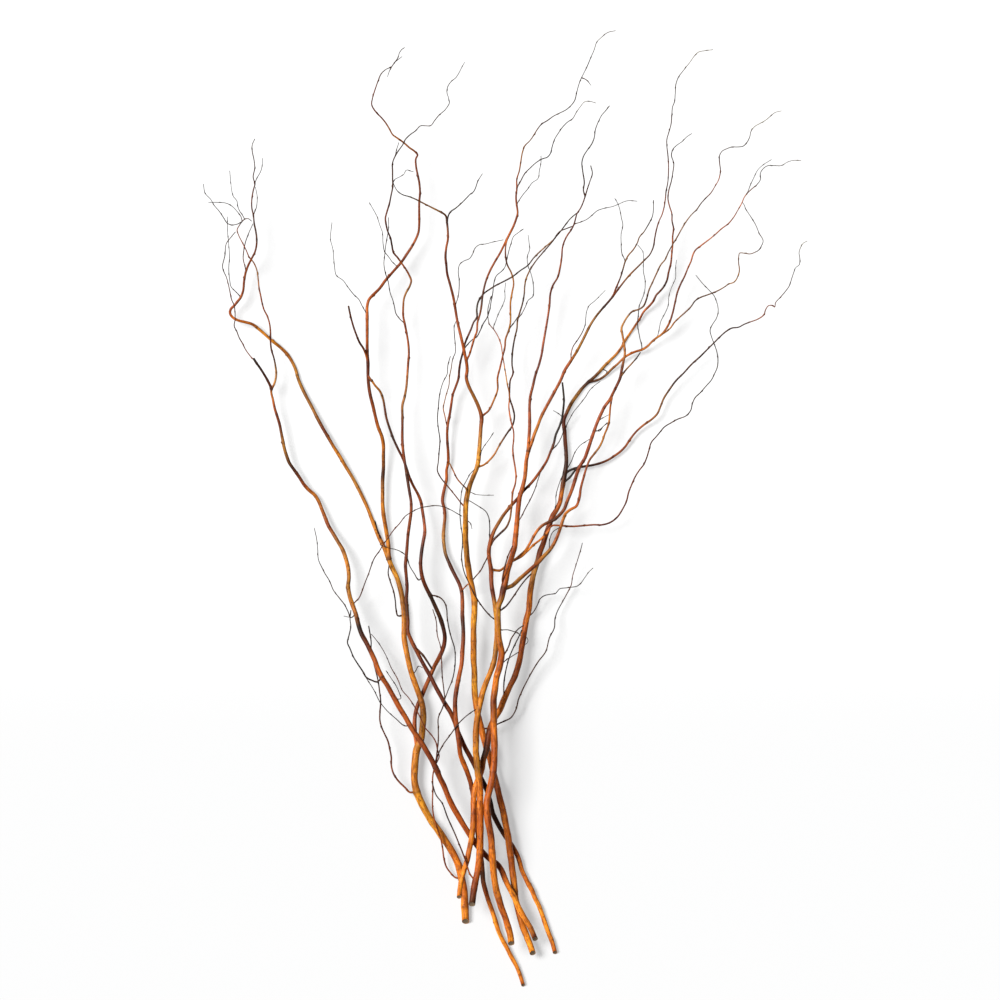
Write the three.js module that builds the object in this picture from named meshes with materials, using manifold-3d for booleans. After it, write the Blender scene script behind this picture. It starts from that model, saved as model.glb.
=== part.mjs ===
// A loose bunch of eight dried curly willow stems, laid down on a flat surface.
// Millimetres, +Z up, butts towards -Y and tips towards +Y. Each stem grew as one piece: its main
// run, its branches and its twigs are joined in one closed solid.
import * as THREE from 'three';
import { mergeVertices } from 'three/addons/utils/BufferGeometryUtils.js';
import Module from 'manifold-3d';

const wasm = await Module();
wasm.setup();

// How the stems are laid
const GAP = 0.3; // clear space kept between two stems where one lies on the other
const BEND = 0.75; // slope that a run of 1 mm radius can take up or down
const STEEPEST = 0.6;
const EASE_PASSES = 40; // how often the humps over crossings are eased
const PRESS = 0.4; // depth of the flat spots on which the lowest stems rest
const SLANT = 0.8; // how far a butt's cut leans, as a share of its thickness
const PLAN_TOLERANCE = 1.2; // a route point this near to the straight line is left out
const RUN_SPACING = 42; // longest straight piece of a run
const FLOOR_DEPTH = 50;

// A route is a list of x,y points along a run's centre line, from its root to its tip. thick is
// the run's thickness, and rise its height above its root, at even steps along the route.
const STEMS = [
  {
    name: 'stem_ochre_forked',
    colour: 0xb0640f,
    runs: [
      {
        name: 'main', thick: [9.4, 9.2, 9, 7, 6.7, 4.6, 4.4, 4.1, 3.3, 2, 1],
        rise: [0, 3, 8, 10, 3, 0, 6, 0, 14, 34, 52],
        route: `-43,-528 -44,-510 -45,-490 -48,-475 -51,-460 -55,-450 -62,-437 -70,-425 -78,-413
          -86,-402 -93,-390 -99,-378 -104,-366 -107,-352 -107,-338 -106,-325 -104,-312 -99,-300
          -97,-285 -96,-272 -97,-258 -100,-247 -104,-236 -108,-225 -112,-213 -115,-200 -118,-185
          -120,-172 -120,-160 -120,-145 -121,-132 -123,-120 -126,-107 -130,-95 -135,-85 -139,-75
          -146,-58 -151,-48 -156,-36 -161,-23 -166,-10 -172,3 -179,17 -186,30 -194,43 -201,55
          -208,66 -215,78 -222,90 -229,103 -236,117 -243,130 -248,140 -253,152 -256,163 -261,174
          -267,183 -275,191 -285,199 -294,207 -302,214 -310,220 -320,223 -328,225 -335,229
          -338,234 -337,239 -333,243 -329,248 -325,253 -322,260 -320,275 -318,285 -315,293
          -311,301 -306,311 -304,322 -305,335 -307,345 -308,355 -310,365 -310,375 -308,387
          -306,395 -308,402 -306,415 -307,425 -309,435 -309,443 -306,450`,
      },
      {
        name: 'upright', on: 'main', thick: [5.6, 4.7, 4.3, 4, 3.3, 2.6, 1.8, 0.9],
        rise: [0, 6, 22, 30, 18, 26, 48, 70],
        route: `-139,-75 -140,-55 -142,-42 -144,-30 -146,-18 -147,-5 -147,10 -147,25 -146,40
          -146,55 -146,70 -148,80 -152,90 -156,105 -159,118 -162,130 -164,142 -165,155 -165,170
          -166,185 -166,200 -166,215 -166,230 -166,242 -164,250 -158,257 -151,264 -143,275
          -136,283 -129,291 -123,298 -117,307 -111,316 -106,325 -102,335 -101,345 -101,358
          -101,372 -100,385 -101,397 -103,407 -105,418 -105,427 -103,431 -106,435 -113,440
          -120,446 -127,451 -134,456 -138,463 -143,471 -148,477 -152,481 -157,487 -160,493
          -159,501 -156,511 -152,522 -148,531 -141,537 -136,539 -131,545 -127,551 -125,557
          -122,561 -119,563`,
      },
      {
        name: 'red', on: 'main', thick: [5.2, 5.4, 5.4, 4.7, 3.8, 3.1, 2.8], rise: [0, -6, 8, 20, 12, 26, 32],
        route: `-104,-312 -106,-295 -107,-280 -106,-268 -103,-257 -99,-248 -95,-238 -88,-222
          -82,-208 -76,-197 -71,-185 -69,-172 -71,-160 -75,-147 -81,-133 -87,-120 -93,-108
          -97,-97 -99,-85 -98,-65 -96,-52 -94,-40 -95,-27 -97,-14 -99,-2 -103,8 -108,17 -113,28
          -117,40 -121,51 -127,63 -133,76 -138,90 -142,103 -144,115 -146,126 -150,136 -156,143
          -160,149`,
      },
      {
        name: 'side_left', on: 'main', thick: [2.6, 2.2, 1.8, 1.6], rise: [0, 14, 30, 22],
        route: `-107,-366 -113,-366 -119,-360 -127,-352 -133,-343 -136,-332 -136,-322 -138,-311
          -140,-302 -144,-293 -148,-284 -150,-276 -150,-265 -149,-252 -150,-242 -153,-222
          -156,-210 -159,-198 -161,-188 -161,-178 -164,-158`,
      },
      {
        name: 'low_twig', on: 'main', thick: [2.2, 1.9, 1.5, 0.9], rise: [0, 22, 34, 12],
        route: `-48,-475 -56,-473 -62,-467 -67,-460 -70,-450 -72,-435 -74,-425 -78,-412 -82,-400
          -84,-388 -84,-360 -84,-345 -82,-335 -79,-328 -76,-320 -78,-313 -80,-303 -86,-293
          -93,-285 -98,-275 -104,-263 -108,-256 -115,-246 -122,-238 -127,-226 -130,-220 -136,-210
          -141,-198 -148,-185 -155,-175 -161,-168`,
      },
      {
        name: 'inner_twig', on: 'main', thick: [2, 1.8, 1.6], rise: [0, 10, 4],
        route: `-120,-145 -128,-145 -130,-138 -131,-127 -133,-115 -137,-103 -140,-92 -139,-82`,
      },
      {
        name: 'loop_twig', on: 'red', thick: [1.8, 1.6, 1.4], rise: [0, -8, 10],
        route: `-87,-120 -77,-121 -70,-127 -67,-135 -66,-147 -64,-160 -61,-172 -57,-185 -56,-200
          -57,-213 -60,-226 -65,-238 -69,-249`,
      },
      {
        name: 'bridge_twig', on: 'red', thick: [1.5, 1.3, 1], rise: [0, 8, 4],
        route: `-97,-97 -101,-100 -107,-92 -113,-82 -117,-70 -123,-65 -130,-62 -139,-60 -150,-56`,
      },
      { name: 'spur_a', on: 'main', thick: [1.3, 1.2], rise: [0, 8], route: `-151,-48 -154,-37 -157,-26` },
      {
        name: 'spur_b', on: 'upright', thick: [3, 2.6, 2.2], rise: [0, 10, 22],
        route: `-165,170 -171,190 -175,196 -180,208 -184,220 -187,232 -189,242`,
      },
      {
        name: 'twig_c', on: 'upright', thick: [1.2, 1, 0.8], rise: [0, 30, 46],
        route: `-166,230 -172,242 -176,250 -183,257 -190,266 -196,274 -204,280 -206,290 -207,300
          -208,312 -211,325 -210,337 -209,345`,
      },
      {
        name: 'twig_d', on: 'upright', thick: [1.1, 1, 0.8], rise: [0, 22, 30],
        route: `-129,291 -135,298 -140,305 -144,310 -146,320 -147,335 -150,343 -154,355 -159,364
          -163,371`,
      },
      {
        name: 'twig_e', on: 'main', thick: [1.5, 1.3, 1.1], rise: [0, 14, 6],
        route: `-318,285 -321,303 -320,312 -318,322 -315,331 -309,345`,
      },
      {
        name: 'twig_f', on: 'main', thick: [1.2, 1, 0.8], rise: [0, 12, 24, 40],
        route: `-325,253 -331,261 -336,266 -338,275 -339,290 -338,303 -339,322 -340,335 -340,353`,
      },
      {
        name: 'beside', on: 'main', thick: [1.2, 1, 0.8], rise: [0, 10, 16],
        route: `-308,355 -304,366 -303,378 -305,390`,
      },
      {
        name: 'twig_g', on: 'main', thick: [1, 0.8], rise: [0, 12],
        route: `-306,395 -302,404 -299,409 -297,415 -296,426`,
      },
    ],
  },
  {
    name: 'stem_crossing',
    colour: 0x8a4412,
    runs: [
      {
        name: 'main', thick: [5.8, 6, 6.1, 5.8, 4.7, 4.1, 3.7, 3, 2.5, 2.1, 1.2, 0.8],
        rise: [0, 0, 2, 0, 6, 10, 0, 6, 24, 44, 66, 86],
        route: `69,-567 65,-553 61,-543 57,-532 53,-520 49,-509 44,-499 40,-489 35,-480 31,-472
          27,-463 25,-455 22,-446 18,-438 14,-431 8,-423 2,-414 -4,-403 -9,-392 -12,-378
          -16,-365 -21,-353 -27,-342 -33,-330 -38,-320 -43,-311 -48,-300 -53,-288 -57,-276
          -62,-265 -69,-254 -75,-243 -81,-232 -87,-220 -94,-208 -100,-197 -106,-185 -111,-175
          -115,-164 -115,-152 -116,-138 -117,-125 -116,-110 -117,-95 -118,-82 -117,-70 -116,-58
          -115,-45 -113,-30 -111,-15 -111,-3 -113,10 -115,22 -117,35 -119,48 -121,62 -122,75
          -122,90 -122,105 -122,118 -119,130 -117,142 -116,155 -115,170 -114,185 -115,198
          -117,210 -119,220 -121,230 -121,242 -120,252 -117,260 -113,267 -111,274 -114,282
          -118,289 -123,296 -128,303 -133,309 -135,318 -137,328 -140,335 -142,343 -143,352
          -141,360 -138,370 -136,380 -134,390 -134,400 -134,410 -134,420 -131,428 -126,436
          -121,443 -118,449 -112,455 -105,460 -99,466 -92,466 -87,466 -81,473 -75,480 -70,484
          -65,490 -63,494 -64,500 -66,507 -65,514 -61,520 -55,525 -51,531 -48,537 -44,544`,
      },
      {
        name: 'cut_spur', on: 'main', thick: [3, 2.5], rise: [0, 3],
        route: `-106,-185 -97,-193 -90,-203 -85,-211`,
      },
      {
        name: 'twig_a', on: 'main', thick: [1.3, 1.2, 1], rise: [0, 12, 30],
        route: `-119,220 -125,226 -130,233 -132,242 -134,250 -137,258 -140,274 -143,283 -145,295
          -144,305 -143,315 -141,327 -139,338 -139,352`,
      },
      {
        name: 'twig_b', on: 'main', thick: [1, 0.9], rise: [0, 14],
        route: `-134,390 -132,399 -125,403 -120,406 -117,411 -108,409`,
      },
      { name: 'twig_c', on: 'main', thick: [1, 0.9], rise: [0, 9], route: `-131,428 -129,436 -126,445` },
    ],
  },
  {
    name: 'stem_slender',
    colour: 0x8c3f14,
    runs: [
      {
        name: 'main', thick: [5, 6, 6.2, 6.2, 5.4, 4.7, 4.1, 3.3, 2.5, 1.8, 1.5],
        rise: [0, 2, 0, 6, 10, 4, 0, 12, 30, 46, 60],
        route: `29,-608 25,-595 20,-583 14,-572 9,-562 3,-551 -2,-540 -5,-530 -9,-517 -14,-503
          -18,-490 -21,-478 -22,-465 -23,-452 -26,-432 -29,-405 -31,-385 -34,-367 -37,-352
          -41,-340 -45,-330 -49,-320 -51,-305 -53,-290 -55,-275 -56,-262 -56,-250 -54,-235
          -51,-220 -48,-205 -47,-190 -46,-175 -46,-160 -47,-145 -47,-130 -48,-115 -51,-105
          -56,-95 -60,-87 -64,-78 -68,-68 -70,-57 -71,-45 -70,-32 -69,-20 -70,-10 -72,-2 -71,8
          -69,17 -67,27 -67,37 -65,47 -65,60 -66,75 -66,88 -65,97 -63,107 -61,120 -59,132
          -55,143 -52,152 -51,163 -49,175 -46,186 -44,195 -40,205 -36,214 -33,222 -29,228
          -29,238 -27,248 -24,253 -20,258 -13,263 -5,268 5,273 16,279 25,286 35,293 42,302
          50,310 58,317 66,324 74,333 80,341 88,351 95,357`,
      },
      {
        name: 'twig_left', on: 'main', thick: [1.6, 1.3, 1.1], rise: [0, 8, 20],
        route: `-66,88 -69,105 -71,115 -69,125 -67,133 -64,143 -63,155 -61,165 -59,177 -56,184
          -56,195 -57,207 -57,218 -54,225`,
      },
      {
        name: 'twig_hook', on: 'main', thick: [1.8, 1.5, 1.1], rise: [0, 26, 34],
        route: `-48,-115 -42,-107 -36,-102 -30,-95 -24,-88 -20,-80 -16,-72 -14,-62 -13,-45
          -13,-30 -14,-22 -18,-14 -25,-9 -33,-4 -38,-1`,
      },
      {
        name: 'twig_right', on: 'main', thick: [1.6, 1.4, 1.2, 1], rise: [0, 14, 34, 52],
        route: `-46,186 -40,195 -35,200 -29,204 -25,211 -21,220 -16,228 -13,237 -11,248 -9,258
          -8,268 -4,280 2,285 6,290 8,297 11,310 14,320 17,328 22,332 29,337`,
      },
    ],
  },
  {
    name: 'stem_golden',
    colour: 0xb8681a,
    runs: [
      {
        name: 'main', thick: [8, 8.5, 8.2, 7.8, 7.6, 7.4, 5.7, 4.4, 3.4, 2.9, 1],
        rise: [0, 0, 4, 6, 12, 8, 14, 22, 36, 50, 72],
        route: `41,-567 37,-555 33,-545 29,-535 25,-522 22,-510 19,-497 18,-485 17,-475 15,-460
          14,-450 12,-437 10,-420 7,-405 4,-390 0,-375 -3,-362 -6,-350 -9,-338 -12,-325
          -16,-312 -20,-300 -23,-288 -26,-275 -29,-262 -31,-248 -32,-230 -32,-215 -33,-200
          -33,-185 -33,-170 -33,-155 -32,-140 -32,-127 -34,-113 -37,-100 -39,-88 -41,-75
          -42,-62 -43,-50 -43,-38 -43,-25 -43,-12 -42,0 -40,10 -37,20 -33,30 -29,40 -27,50
          -26,62 -25,75 -24,90 -23,103 -27,117 -33,130 -39,142 -42,152 -41,163 -42,173 -44,182
          -46,192 -49,205 -53,222 -56,240 -58,252 -62,268 -66,283 -67,293 -68,303 -67,315
          -65,325 -65,335 -66,345 -68,355 -74,359 -82,363 -90,367 -98,371 -106,375 -114,378
          -121,380 -127,384 -131,390 -133,395`,
      },
      {
        name: 'tall', on: 'main', thick: [2.5, 2.5, 2.6, 3, 1.9, 1.5, 1.2, 1, 0.8],
        rise: [0, 14, 10, 20, 28, 44, 58, 66, 80],
        route: `-42,173 -38,182 -35,192 -32,202 -29,210 -28,222 -25,232 -23,243 -22,253 -20,264
          -17,275 -12,287 -6,298 0,308 5,318 9,326 13,334 17,342 20,350 22,358 21,367 20,377
          21,388 21,400 24,410 26,422 28,433 31,441 37,447 42,454 47,462 51,467 59,472 66,477
          74,481 82,485 88,490 93,497 95,505 97,513 100,522 104,530 108,538 113,550 117,559
          120,568 127,575 134,580 143,582`,
      },
      {
        name: 'tall_side', on: 'tall', thick: [1.6, 1.4, 1.2, 0.8], rise: [0, 10, 24, 40],
        route: `21,388 26,398 31,407 38,414 46,421 53,425 59,427 63,432 65,440 68,449 73,457
          78,464 84,470 90,474 95,482 100,489 106,495 112,495 119,493`,
      },
      {
        name: 'tall_thin', on: 'tall', thick: [1.1, 1, 0.9], rise: [0, 14, 24],
        route: `21,367 29,381 35,388 40,395 47,400 49,410 51,420 51,428`,
      },
      {
        name: 'middle', on: 'main', thick: [2.6, 2.4, 2.2, 2], rise: [0, 16, 22, 34],
        route: `-23,103 -14,112 -8,124 -3,138 -3,153 0,165 3,178 6,190 7,201 11,212 13,222
          13,235 13,245 15,258 17,270 14,283 9,293 7,303 7,315 9,325`,
      },
      {
        name: 'wander', on: 'main', thick: [2.5, 2.4, 2.3, 2.2, 2, 1.8, 1.6],
        rise: [0, 10, 22, 14, 26, 36, 30],
        route: `-29,40 -20,44 -13,50 -7,57 -2,66 4,76 10,85 15,92 18,105 16,115 12,128 12,140
          13,150 16,157 15,170 17,195 19,205 21,213 22,225 25,235 28,245 30,255 31,268 32,274
          36,284 44,297 54,309 66,323 75,335 82,338 90,341`,
      },
      {
        name: 'wander_twig', on: 'wander', thick: [1.2, 1, 0.8], rise: [0, 18, 30],
        route: `22,225 28,234 32,242 35,249 41,254 42,262 41,272 38,284 35,292 34,303 37,313
          36,322 35,330`,
      },
      { name: 'link', on: 'middle', thick: [1.4, 1.3], rise: [0, 5], route: `11,212 18,222 22,228` },
      {
        name: 'end_twig', on: 'main', thick: [2, 1.5, 0.9], rise: [0, 10, 22],
        route: `-66,345 -62,359 -55,364 -48,370 -42,376 -37,381 -33,384 -30,390 -28,396 -22,406`,
      },
      {
        name: 'long_twig', on: 'main', thick: [1.3, 1.1, 0.9], rise: [0, 18, 30],
        route: `-56,240 -52,255 -51,265 -51,275 -52,285 -50,294 -45,298 -38,301 -34,307 -31,314
          -26,318 -18,319 -10,321 4,324`,
      },
      {
        name: 'left_twig', on: 'main', thick: [1.8, 1.6, 1.3, 1], rise: [0, 12, 26, 34],
        route: `-43,-12 -50,-2 -57,7 -66,18 -74,28 -78,36 -77,48 -76,60 -75,75 -77,90 -78,102
          -77,115 -75,133 -71,147 -66,157 -65,168 -62,179`,
      },
      {
        name: 'short_left', on: 'main', thick: [2.2, 1.9, 1.6], rise: [0, 6, 16],
        route: `-42,0 -43,15 -47,19 -53,26 -58,36 -63,46`,
      },
      {
        name: 'short_right', on: 'main', thick: [1.1, 1], rise: [0, 22],
        route: `-27,50 -20,67 -14,75 -8,84`,
      },
      { name: 'whisker', on: 'main', thick: [0.9, 0.8], rise: [0, 12], route: `-40,10 -30,7 -20,6 -8,6` },
      {
        name: 'low_twig', on: 'main', thick: [2, 1.8, 1.6, 1.3, 1], rise: [0, 6, 10, 0, 14],
        route: `-23,-288 -12,-285 -4,-281 5,-277 13,-273 20,-262 23,-250 28,-238 33,-228 40,-215
          48,-202 57,-190 62,-172 68,-160 69,-148 73,-137 78,-128 84,-117 89,-107 91,-95 94,-85
          98,-72 101,-62 103,-54`,
      },
    ],
  },
  {
    name: 'stem_far_left',
    colour: 0x8e4614,
    runs: [
      {
        name: 'main', thick: [6.8, 7.2, 7.2, 6.6, 6.2, 5.3, 4.6, 4.1, 2.3, 1.8, 1],
        rise: [0, 4, 8, 14, 8, 2, 0, 12, 20, 34, 48],
        route: `44,-549 39,-537 34,-528 29,-520 24,-511 20,-502 16,-493 11,-484 6,-473 2,-463
          -3,-456 -8,-452 -14,-448 -22,-440 -30,-430 -38,-418 -45,-407 -52,-395 -59,-383
          -65,-370 -70,-357 -75,-347 -80,-335 -85,-325 -92,-313 -98,-303 -105,-293 -112,-282
          -118,-271 -125,-260 -131,-249 -135,-242 -141,-231 -147,-222 -152,-212 -156,-201
          -161,-190 -167,-178 -173,-167 -177,-155 -180,-143 -184,-132 -188,-120 -190,-108
          -189,-97 -190,-85 -193,-73 -197,-62 -203,-52 -209,-42 -215,-32 -219,-22 -223,-12
          -227,-2 -232,6 -240,13 -246,20 -251,28 -258,38 -264,47 -267,55 -270,65 -272,75
          -274,85 -276,95 -279,105 -282,115 -284,125 -286,138 -283,144 -281,150 -280,158
          -281,168 -283,178 -286,188 -287,198 -287,210 -288,220 -291,230 -295,238 -297,245
          -299,255 -301,265 -302,275 -304,288 -308,297 -313,303 -317,312 -322,322 -326,330
          -328,337 -325,343 -322,347 -319,350 -314,351 -310,348`,
      },
      {
        name: 'black_stub', on: 'main', thick: [3.3, 3.1, 3], rise: [0, 4, 10],
        route: `-286,138 -290,148 -295,157 -300,165 -305,172 -308,177`,
      },
      {
        name: 'stub_twig', on: 'black_stub', thick: [1.6, 1.5, 1.3, 1.2], rise: [0, 8, 24, 30],
        route: `-305,172 -313,181 -318,188 -322,196 -326,203 -329,211 -332,217 -331,225 -331,235
          -332,243 -335,250 -337,260 -341,277 -346,290 -343,305 -341,320 -335,328 -330,334`,
      },
      {
        name: 'tip_a', on: 'main', thick: [1.3, 1.1, 0.8], rise: [0, 12, 28],
        route: `-322,347 -328,344 -334,343 -340,345 -344,351 -350,360 -356,367 -360,374 -367,382
          -369,393`,
      },
      {
        name: 'tip_b', on: 'main', thick: [1.1, 1, 0.9], rise: [0, 4, 12],
        route: `-322,347 -323,353 -328,360 -335,367 -341,370 -350,371 -363,371`,
      },
      {
        name: 'tip_c', on: 'main', thick: [1, 0.9, 0.8], rise: [0, 16, 36],
        route: `-319,350 -321,355 -325,361 -327,367 -328,373 -332,378 -334,385 -335,395 -336,409`,
      },
      {
        name: 'side_a', on: 'main', thick: [2.2, 1.9, 1.6, 1.4], rise: [0, 16, 30, 24],
        route: `-147,-222 -153,-227 -160,-225 -167,-221 -171,-214 -177,-205 -183,-195 -187,-185
          -190,-178 -188,-168 -186,-158 -187,-148 -186,-138`,
      },
      {
        name: 'side_b', on: 'main', thick: [1.5, 1.3, 0.9], rise: [0, 26, 50],
        route: `-180,-143 -186,-147 -190,-139 -194,-131 -200,-123 -208,-112 -213,-100 -218,-92
          -222,-84 -226,-75 -227,-62 -228,-50 -231,-35`,
      },
      { name: 'side_c', on: 'side_b', thick: [1, 0.9], rise: [0, 3], route: `-186,-147 -195,-145` },
      {
        name: 'arc', on: 'main', thick: [1.6, 1.5, 1.4, 1.3, 1.2], rise: [0, 26, 44, 38, 26],
        route: `-184,-132 -176,-122 -172,-113 -168,-102 -164,-92 -161,-83 -157,-73 -150,-63
          -146,-56 -140,-48 -133,-38 -125,-29 -118,-20 -110,-15 -100,-10 -90,-8 -82,-7 -72,-8
          -62,-12 -55,-16 -48,-20`,
      },
      {
        name: 'loop', on: 'main', thick: [1.8, 1.7, 1.6, 1.4, 1.2], rise: [0, 12, 4, 10, 2],
        route: `-80,-335 -79,-318 -77,-300 -77,-285 -77,-272 -72,-260 -69,-250 -70,-238 -72,-220
          -73,-200 -74,-184 -78,-170 -80,-150 -84,-137`,
      },
      {
        name: 'slant', on: 'main', thick: [1.8, 1.6, 1.3], rise: [0, 8, 2],
        route: `-80,-335 -78,-320 -72,-307 -62,-293 -50,-277 -40,-268 -28,-260`,
      },
      {
        name: 'under_a', on: 'main', thick: [1.4, 1.2, 1], rise: [0, -4, 8],
        route: `-112,-282 -118,-282 -130,-273 -143,-261 -150,-252 -157,-238 -165,-225 -171,-216`,
      },
      {
        name: 'under_b', on: 'main', thick: [1.1, 1], rise: [0, 12],
        route: `-131,-249 -124,-248 -126,-240 -130,-231 -136,-222 -142,-213`,
      },
    ],
  },
  {
    name: 'stem_right',
    colour: 0x7c3a12,
    runs: [
      {
        name: 'main', thick: [6, 7.4, 7.8, 7.4, 7.5, 6.8, 5.2, 4.4, 3, 2.4, 1.6, 0.9],
        rise: [0, 4, 8, 8, 6, 10, 4, 0, 0, 14, 30, 52],
        route: `-51,-496 -50,-485 -47,-470 -44,-460 -41,-450 -39,-440 -36,-425 -34,-410 -33,-395
          -33,-375 -31,-360 -27,-349 -23,-337 -21,-325 -17,-312 -15,-300 -13,-288 -9,-277
          -5,-270 0,-262 4,-252 8,-243 13,-232 18,-222 22,-210 25,-198 27,-186 29,-174 31,-162
          33,-150 36,-138 37,-126 38,-114 40,-103 42,-93 45,-83 48,-74 50,-65 54,-55 57,-45
          60,-36 63,-28 66,-20 71,-12 75,-3 77,8 79,20 81,32 83,45 83,58 82,70 81,85 80,100
          84,110 90,122 97,132 104,141 110,147 117,153 124,160 131,168 138,175 146,183 152,191
          157,200 163,209 169,218 175,227 181,237 187,243 192,249 196,257 200,261 205,267
          209,275 211,285 214,297 215,308 216,319 216,330 217,339 215,350 215,357 212,367
          210,376 211,387 214,398 216,410 217,420 214,431 216,438 221,443 227,447 233,453
          239,457`,
      },
      {
        name: 'outer', on: 'main', thick: [3, 3, 2.5, 2, 1.5, 1.1, 0.8], rise: [0, 6, 20, 26, 40, 46, 60],
        route: `110,147 118,149 126,152 133,157 140,164 148,171 155,178 163,183 170,186 177,188
          184,192 190,198 196,203 202,207 207,213 212,222 216,234 219,247 222,260 226,270
          231,280 235,290 239,299 241,306 244,312 250,317 258,323 267,330 277,339 285,345
          291,352 297,362 302,371 305,378 308,382 314,388 321,394 325,400 325,408 329,414
          334,417 342,417 351,417 358,421 364,423 375,423`,
      },
      {
        name: 'outer_fine', on: 'outer', thick: [1, 0.9, 0.8], rise: [0, 10, 18],
        route: `308,382 312,392 317,403 321,411 327,417 333,421 338,424`,
      },
      {
        name: 'hook', on: 'outer', thick: [2, 1.9, 1.7, 1.4, 1.1, 0.9], rise: [0, 10, 6, 24, 40, 26],
        route: `202,207 207,210 213,215 218,222 224,228 232,235 239,242 244,249 250,253 258,256
          266,259 273,262 280,266 286,270 292,272 297,279 299,287 298,296 298,304 299,308
          305,308 312,307 318,309 323,312 326,317 328,322 323,333 319,343 312,355 306,364`,
      },
      {
        name: 'long_side', on: 'main', thick: [3.2, 2.9, 2.6, 2.2, 1.7, 1.1, 0.8],
        rise: [0, -2, 4, 12, 18, 34, 48],
        route: `81,32 95,40 105,42 115,43.5 125,46 135,50 143,55 150,60 157,67 163,76 170,85
          180,94 190,101 197,108 201,117 205,127 212,138 220,149 230,159 240,170 250,179
          260,189 268,197 276,205 283,211 290,215 298,216 306,220 314,223 322,226 330,232
          332,238 336,243 340,243 343,241 344,246 350,253 356,260 361,267 364,276 367,285
          369,290 373,293 374,302 373,308 375,315 378,320 383,323`,
      },
      {
        name: 'black_fork', on: 'main', thick: [3, 2.8, 2.5], rise: [0, 1, 3],
        route: `79,20 88,29 94,37 99,43`,
      },
      {
        name: 'twig_a', on: 'main', thick: [1.2, 1.1, 1], rise: [0, 12, 14],
        route: `81,32 90,50 94,60 100,68 107,73 112,76`,
      },
      {
        name: 'twig_b', on: 'main', thick: [1.2, 1.1, 1], rise: [0, 14, 18],
        route: `81,85 88,103 92,110 100,120 107,129 112,137 118,143 125,148`,
      },
      { name: 'twig_c', on: 'main', thick: [1, 0.9], rise: [0, 9], route: `80,100 77,105 67,112` },
      {
        name: 'twig_d', on: 'outer', thick: [1, 0.9, 0.8], rise: [0, 26, 40],
        route: `196,203 199,213 201,223 206,233 210,243 211,255 214,265 219,277 219,290 220,299`,
      },
      {
        name: 'twig_e', on: 'outer', thick: [1.3, 1.2, 1, 0.8], rise: [0, 20, 34, 44],
        route: `177,188 175,203 173,213 172,222 173,232 174,242 177,250 180,258 181,275 179,285
          179,298 178,310 172,318`,
      },
      {
        name: 'twig_f', on: 'main', thick: [1.8, 1.7, 1.5], rise: [0, 8, 4],
        route: `4,-252 5,-228 8,-210 12,-196 18,-182 24,-170 27,-163`,
      },
      {
        name: 'twig_g', on: 'main', thick: [1.5, 1.4, 1.2, 0.9], rise: [0, 6, 12, 30],
        route: `33,-150 42,-140 47,-131 50,-124 55,-120 63,-118 69,-117 75,-111 82,-110 90,-109
          96,-108 100,-105 106,-97 111,-90 116,-85`,
      },
      {
        name: 'curl', on: 'main', thick: [1, 0.9], rise: [0, 4],
        route: `29,-174 33,-172 35,-176 33,-180 31,-181`,
      },
      {
        name: 'twig_h', on: 'main', thick: [1.1, 1], rise: [0, 8],
        route: `66,-20 70,-5 70,5 73,17 77,28 80,35`,
      },
    ],
  },
  {
    name: 'stem_olive',
    colour: 0xa8641c,
    runs: [
      {
        name: 'main', thick: [8, 8.6, 8.6, 8.2, 7.4, 6.5, 5.8, 5.2, 4.2, 3.4, 2.9, 2.4],
        rise: [0, 3, 6, 10, 12, 8, 12, 4, 10, 16, 14, 20],
        route: `-35,-505 -33,-490 -31,-478 -28,-464 -26,-450 -25,-435 -24.5,-420 -24.5,-400
          -25,-380 -25,-362 -26,-350 -27.5,-340 -28.5,-328 -30,-315 -30,-300 -30,-288 -29,-277
          -27,-264 -24,-250 -21,-238 -17,-227 -12,-215 -8,-204 -6,-194 -5,-182 -4,-168 -4,-152
          -6,-135 -8,-121 -10,-110 -11,-98 -11,-88 -13,-76 -14,-64 -12,-52 -8,-40 -2,-29
          5,-18 13,-8 22,2 30,12 38,20 46,30 53,40 59,50 63,60 67,70 70,82 74,91 77,100 79,112
          80,125 79,138 78,147`,
      },
      {
        name: 'cross', on: 'main', thick: [3.2, 3, 2.9, 2.8, 2.6], rise: [0, 4, 8, 4, 8],
        route: `-11,-88 0,-88 8,-82 18,-75 26,-71 34,-64 42,-56 50,-50 56,-44 62,-37`,
      },
      {
        name: 'sweep', on: 'cross', thick: [2.5, 2.4, 2.1, 1.8, 1.5, 1.3, 1.1, 0.9],
        rise: [0, 4, 10, 24, 36, 30, 44, 52],
        route: `56,-44 66,-32 75,-32 90,-33 105,-32 118,-31 128,-31 138,-28 147,-21 153,-12
          158,-2 161,10 165,20 169,29 174,37 180,45 183,52 186,62 189,72 195,79 200,85 205,91
          213,96 222,101 232,105 238,112 240,120 243,127 250,134 257,142 264,150 268,158
          271,165 272,177 270,187 267,195 264,203 262,212 265,219 270,227 272,236 270,247
          267,254 260,262 254,268 248,275 244,280`,
      },
      {
        name: 'red_leader', on: 'cross', thick: [2.8, 4.1, 4.5, 4.2, 3.5, 2.3, 1.8, 1.5, 1.3, 1.1, 0.8],
        rise: [0, 8, 4, 14, 20, 12, 26, 38, 34, 48, 66],
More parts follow.
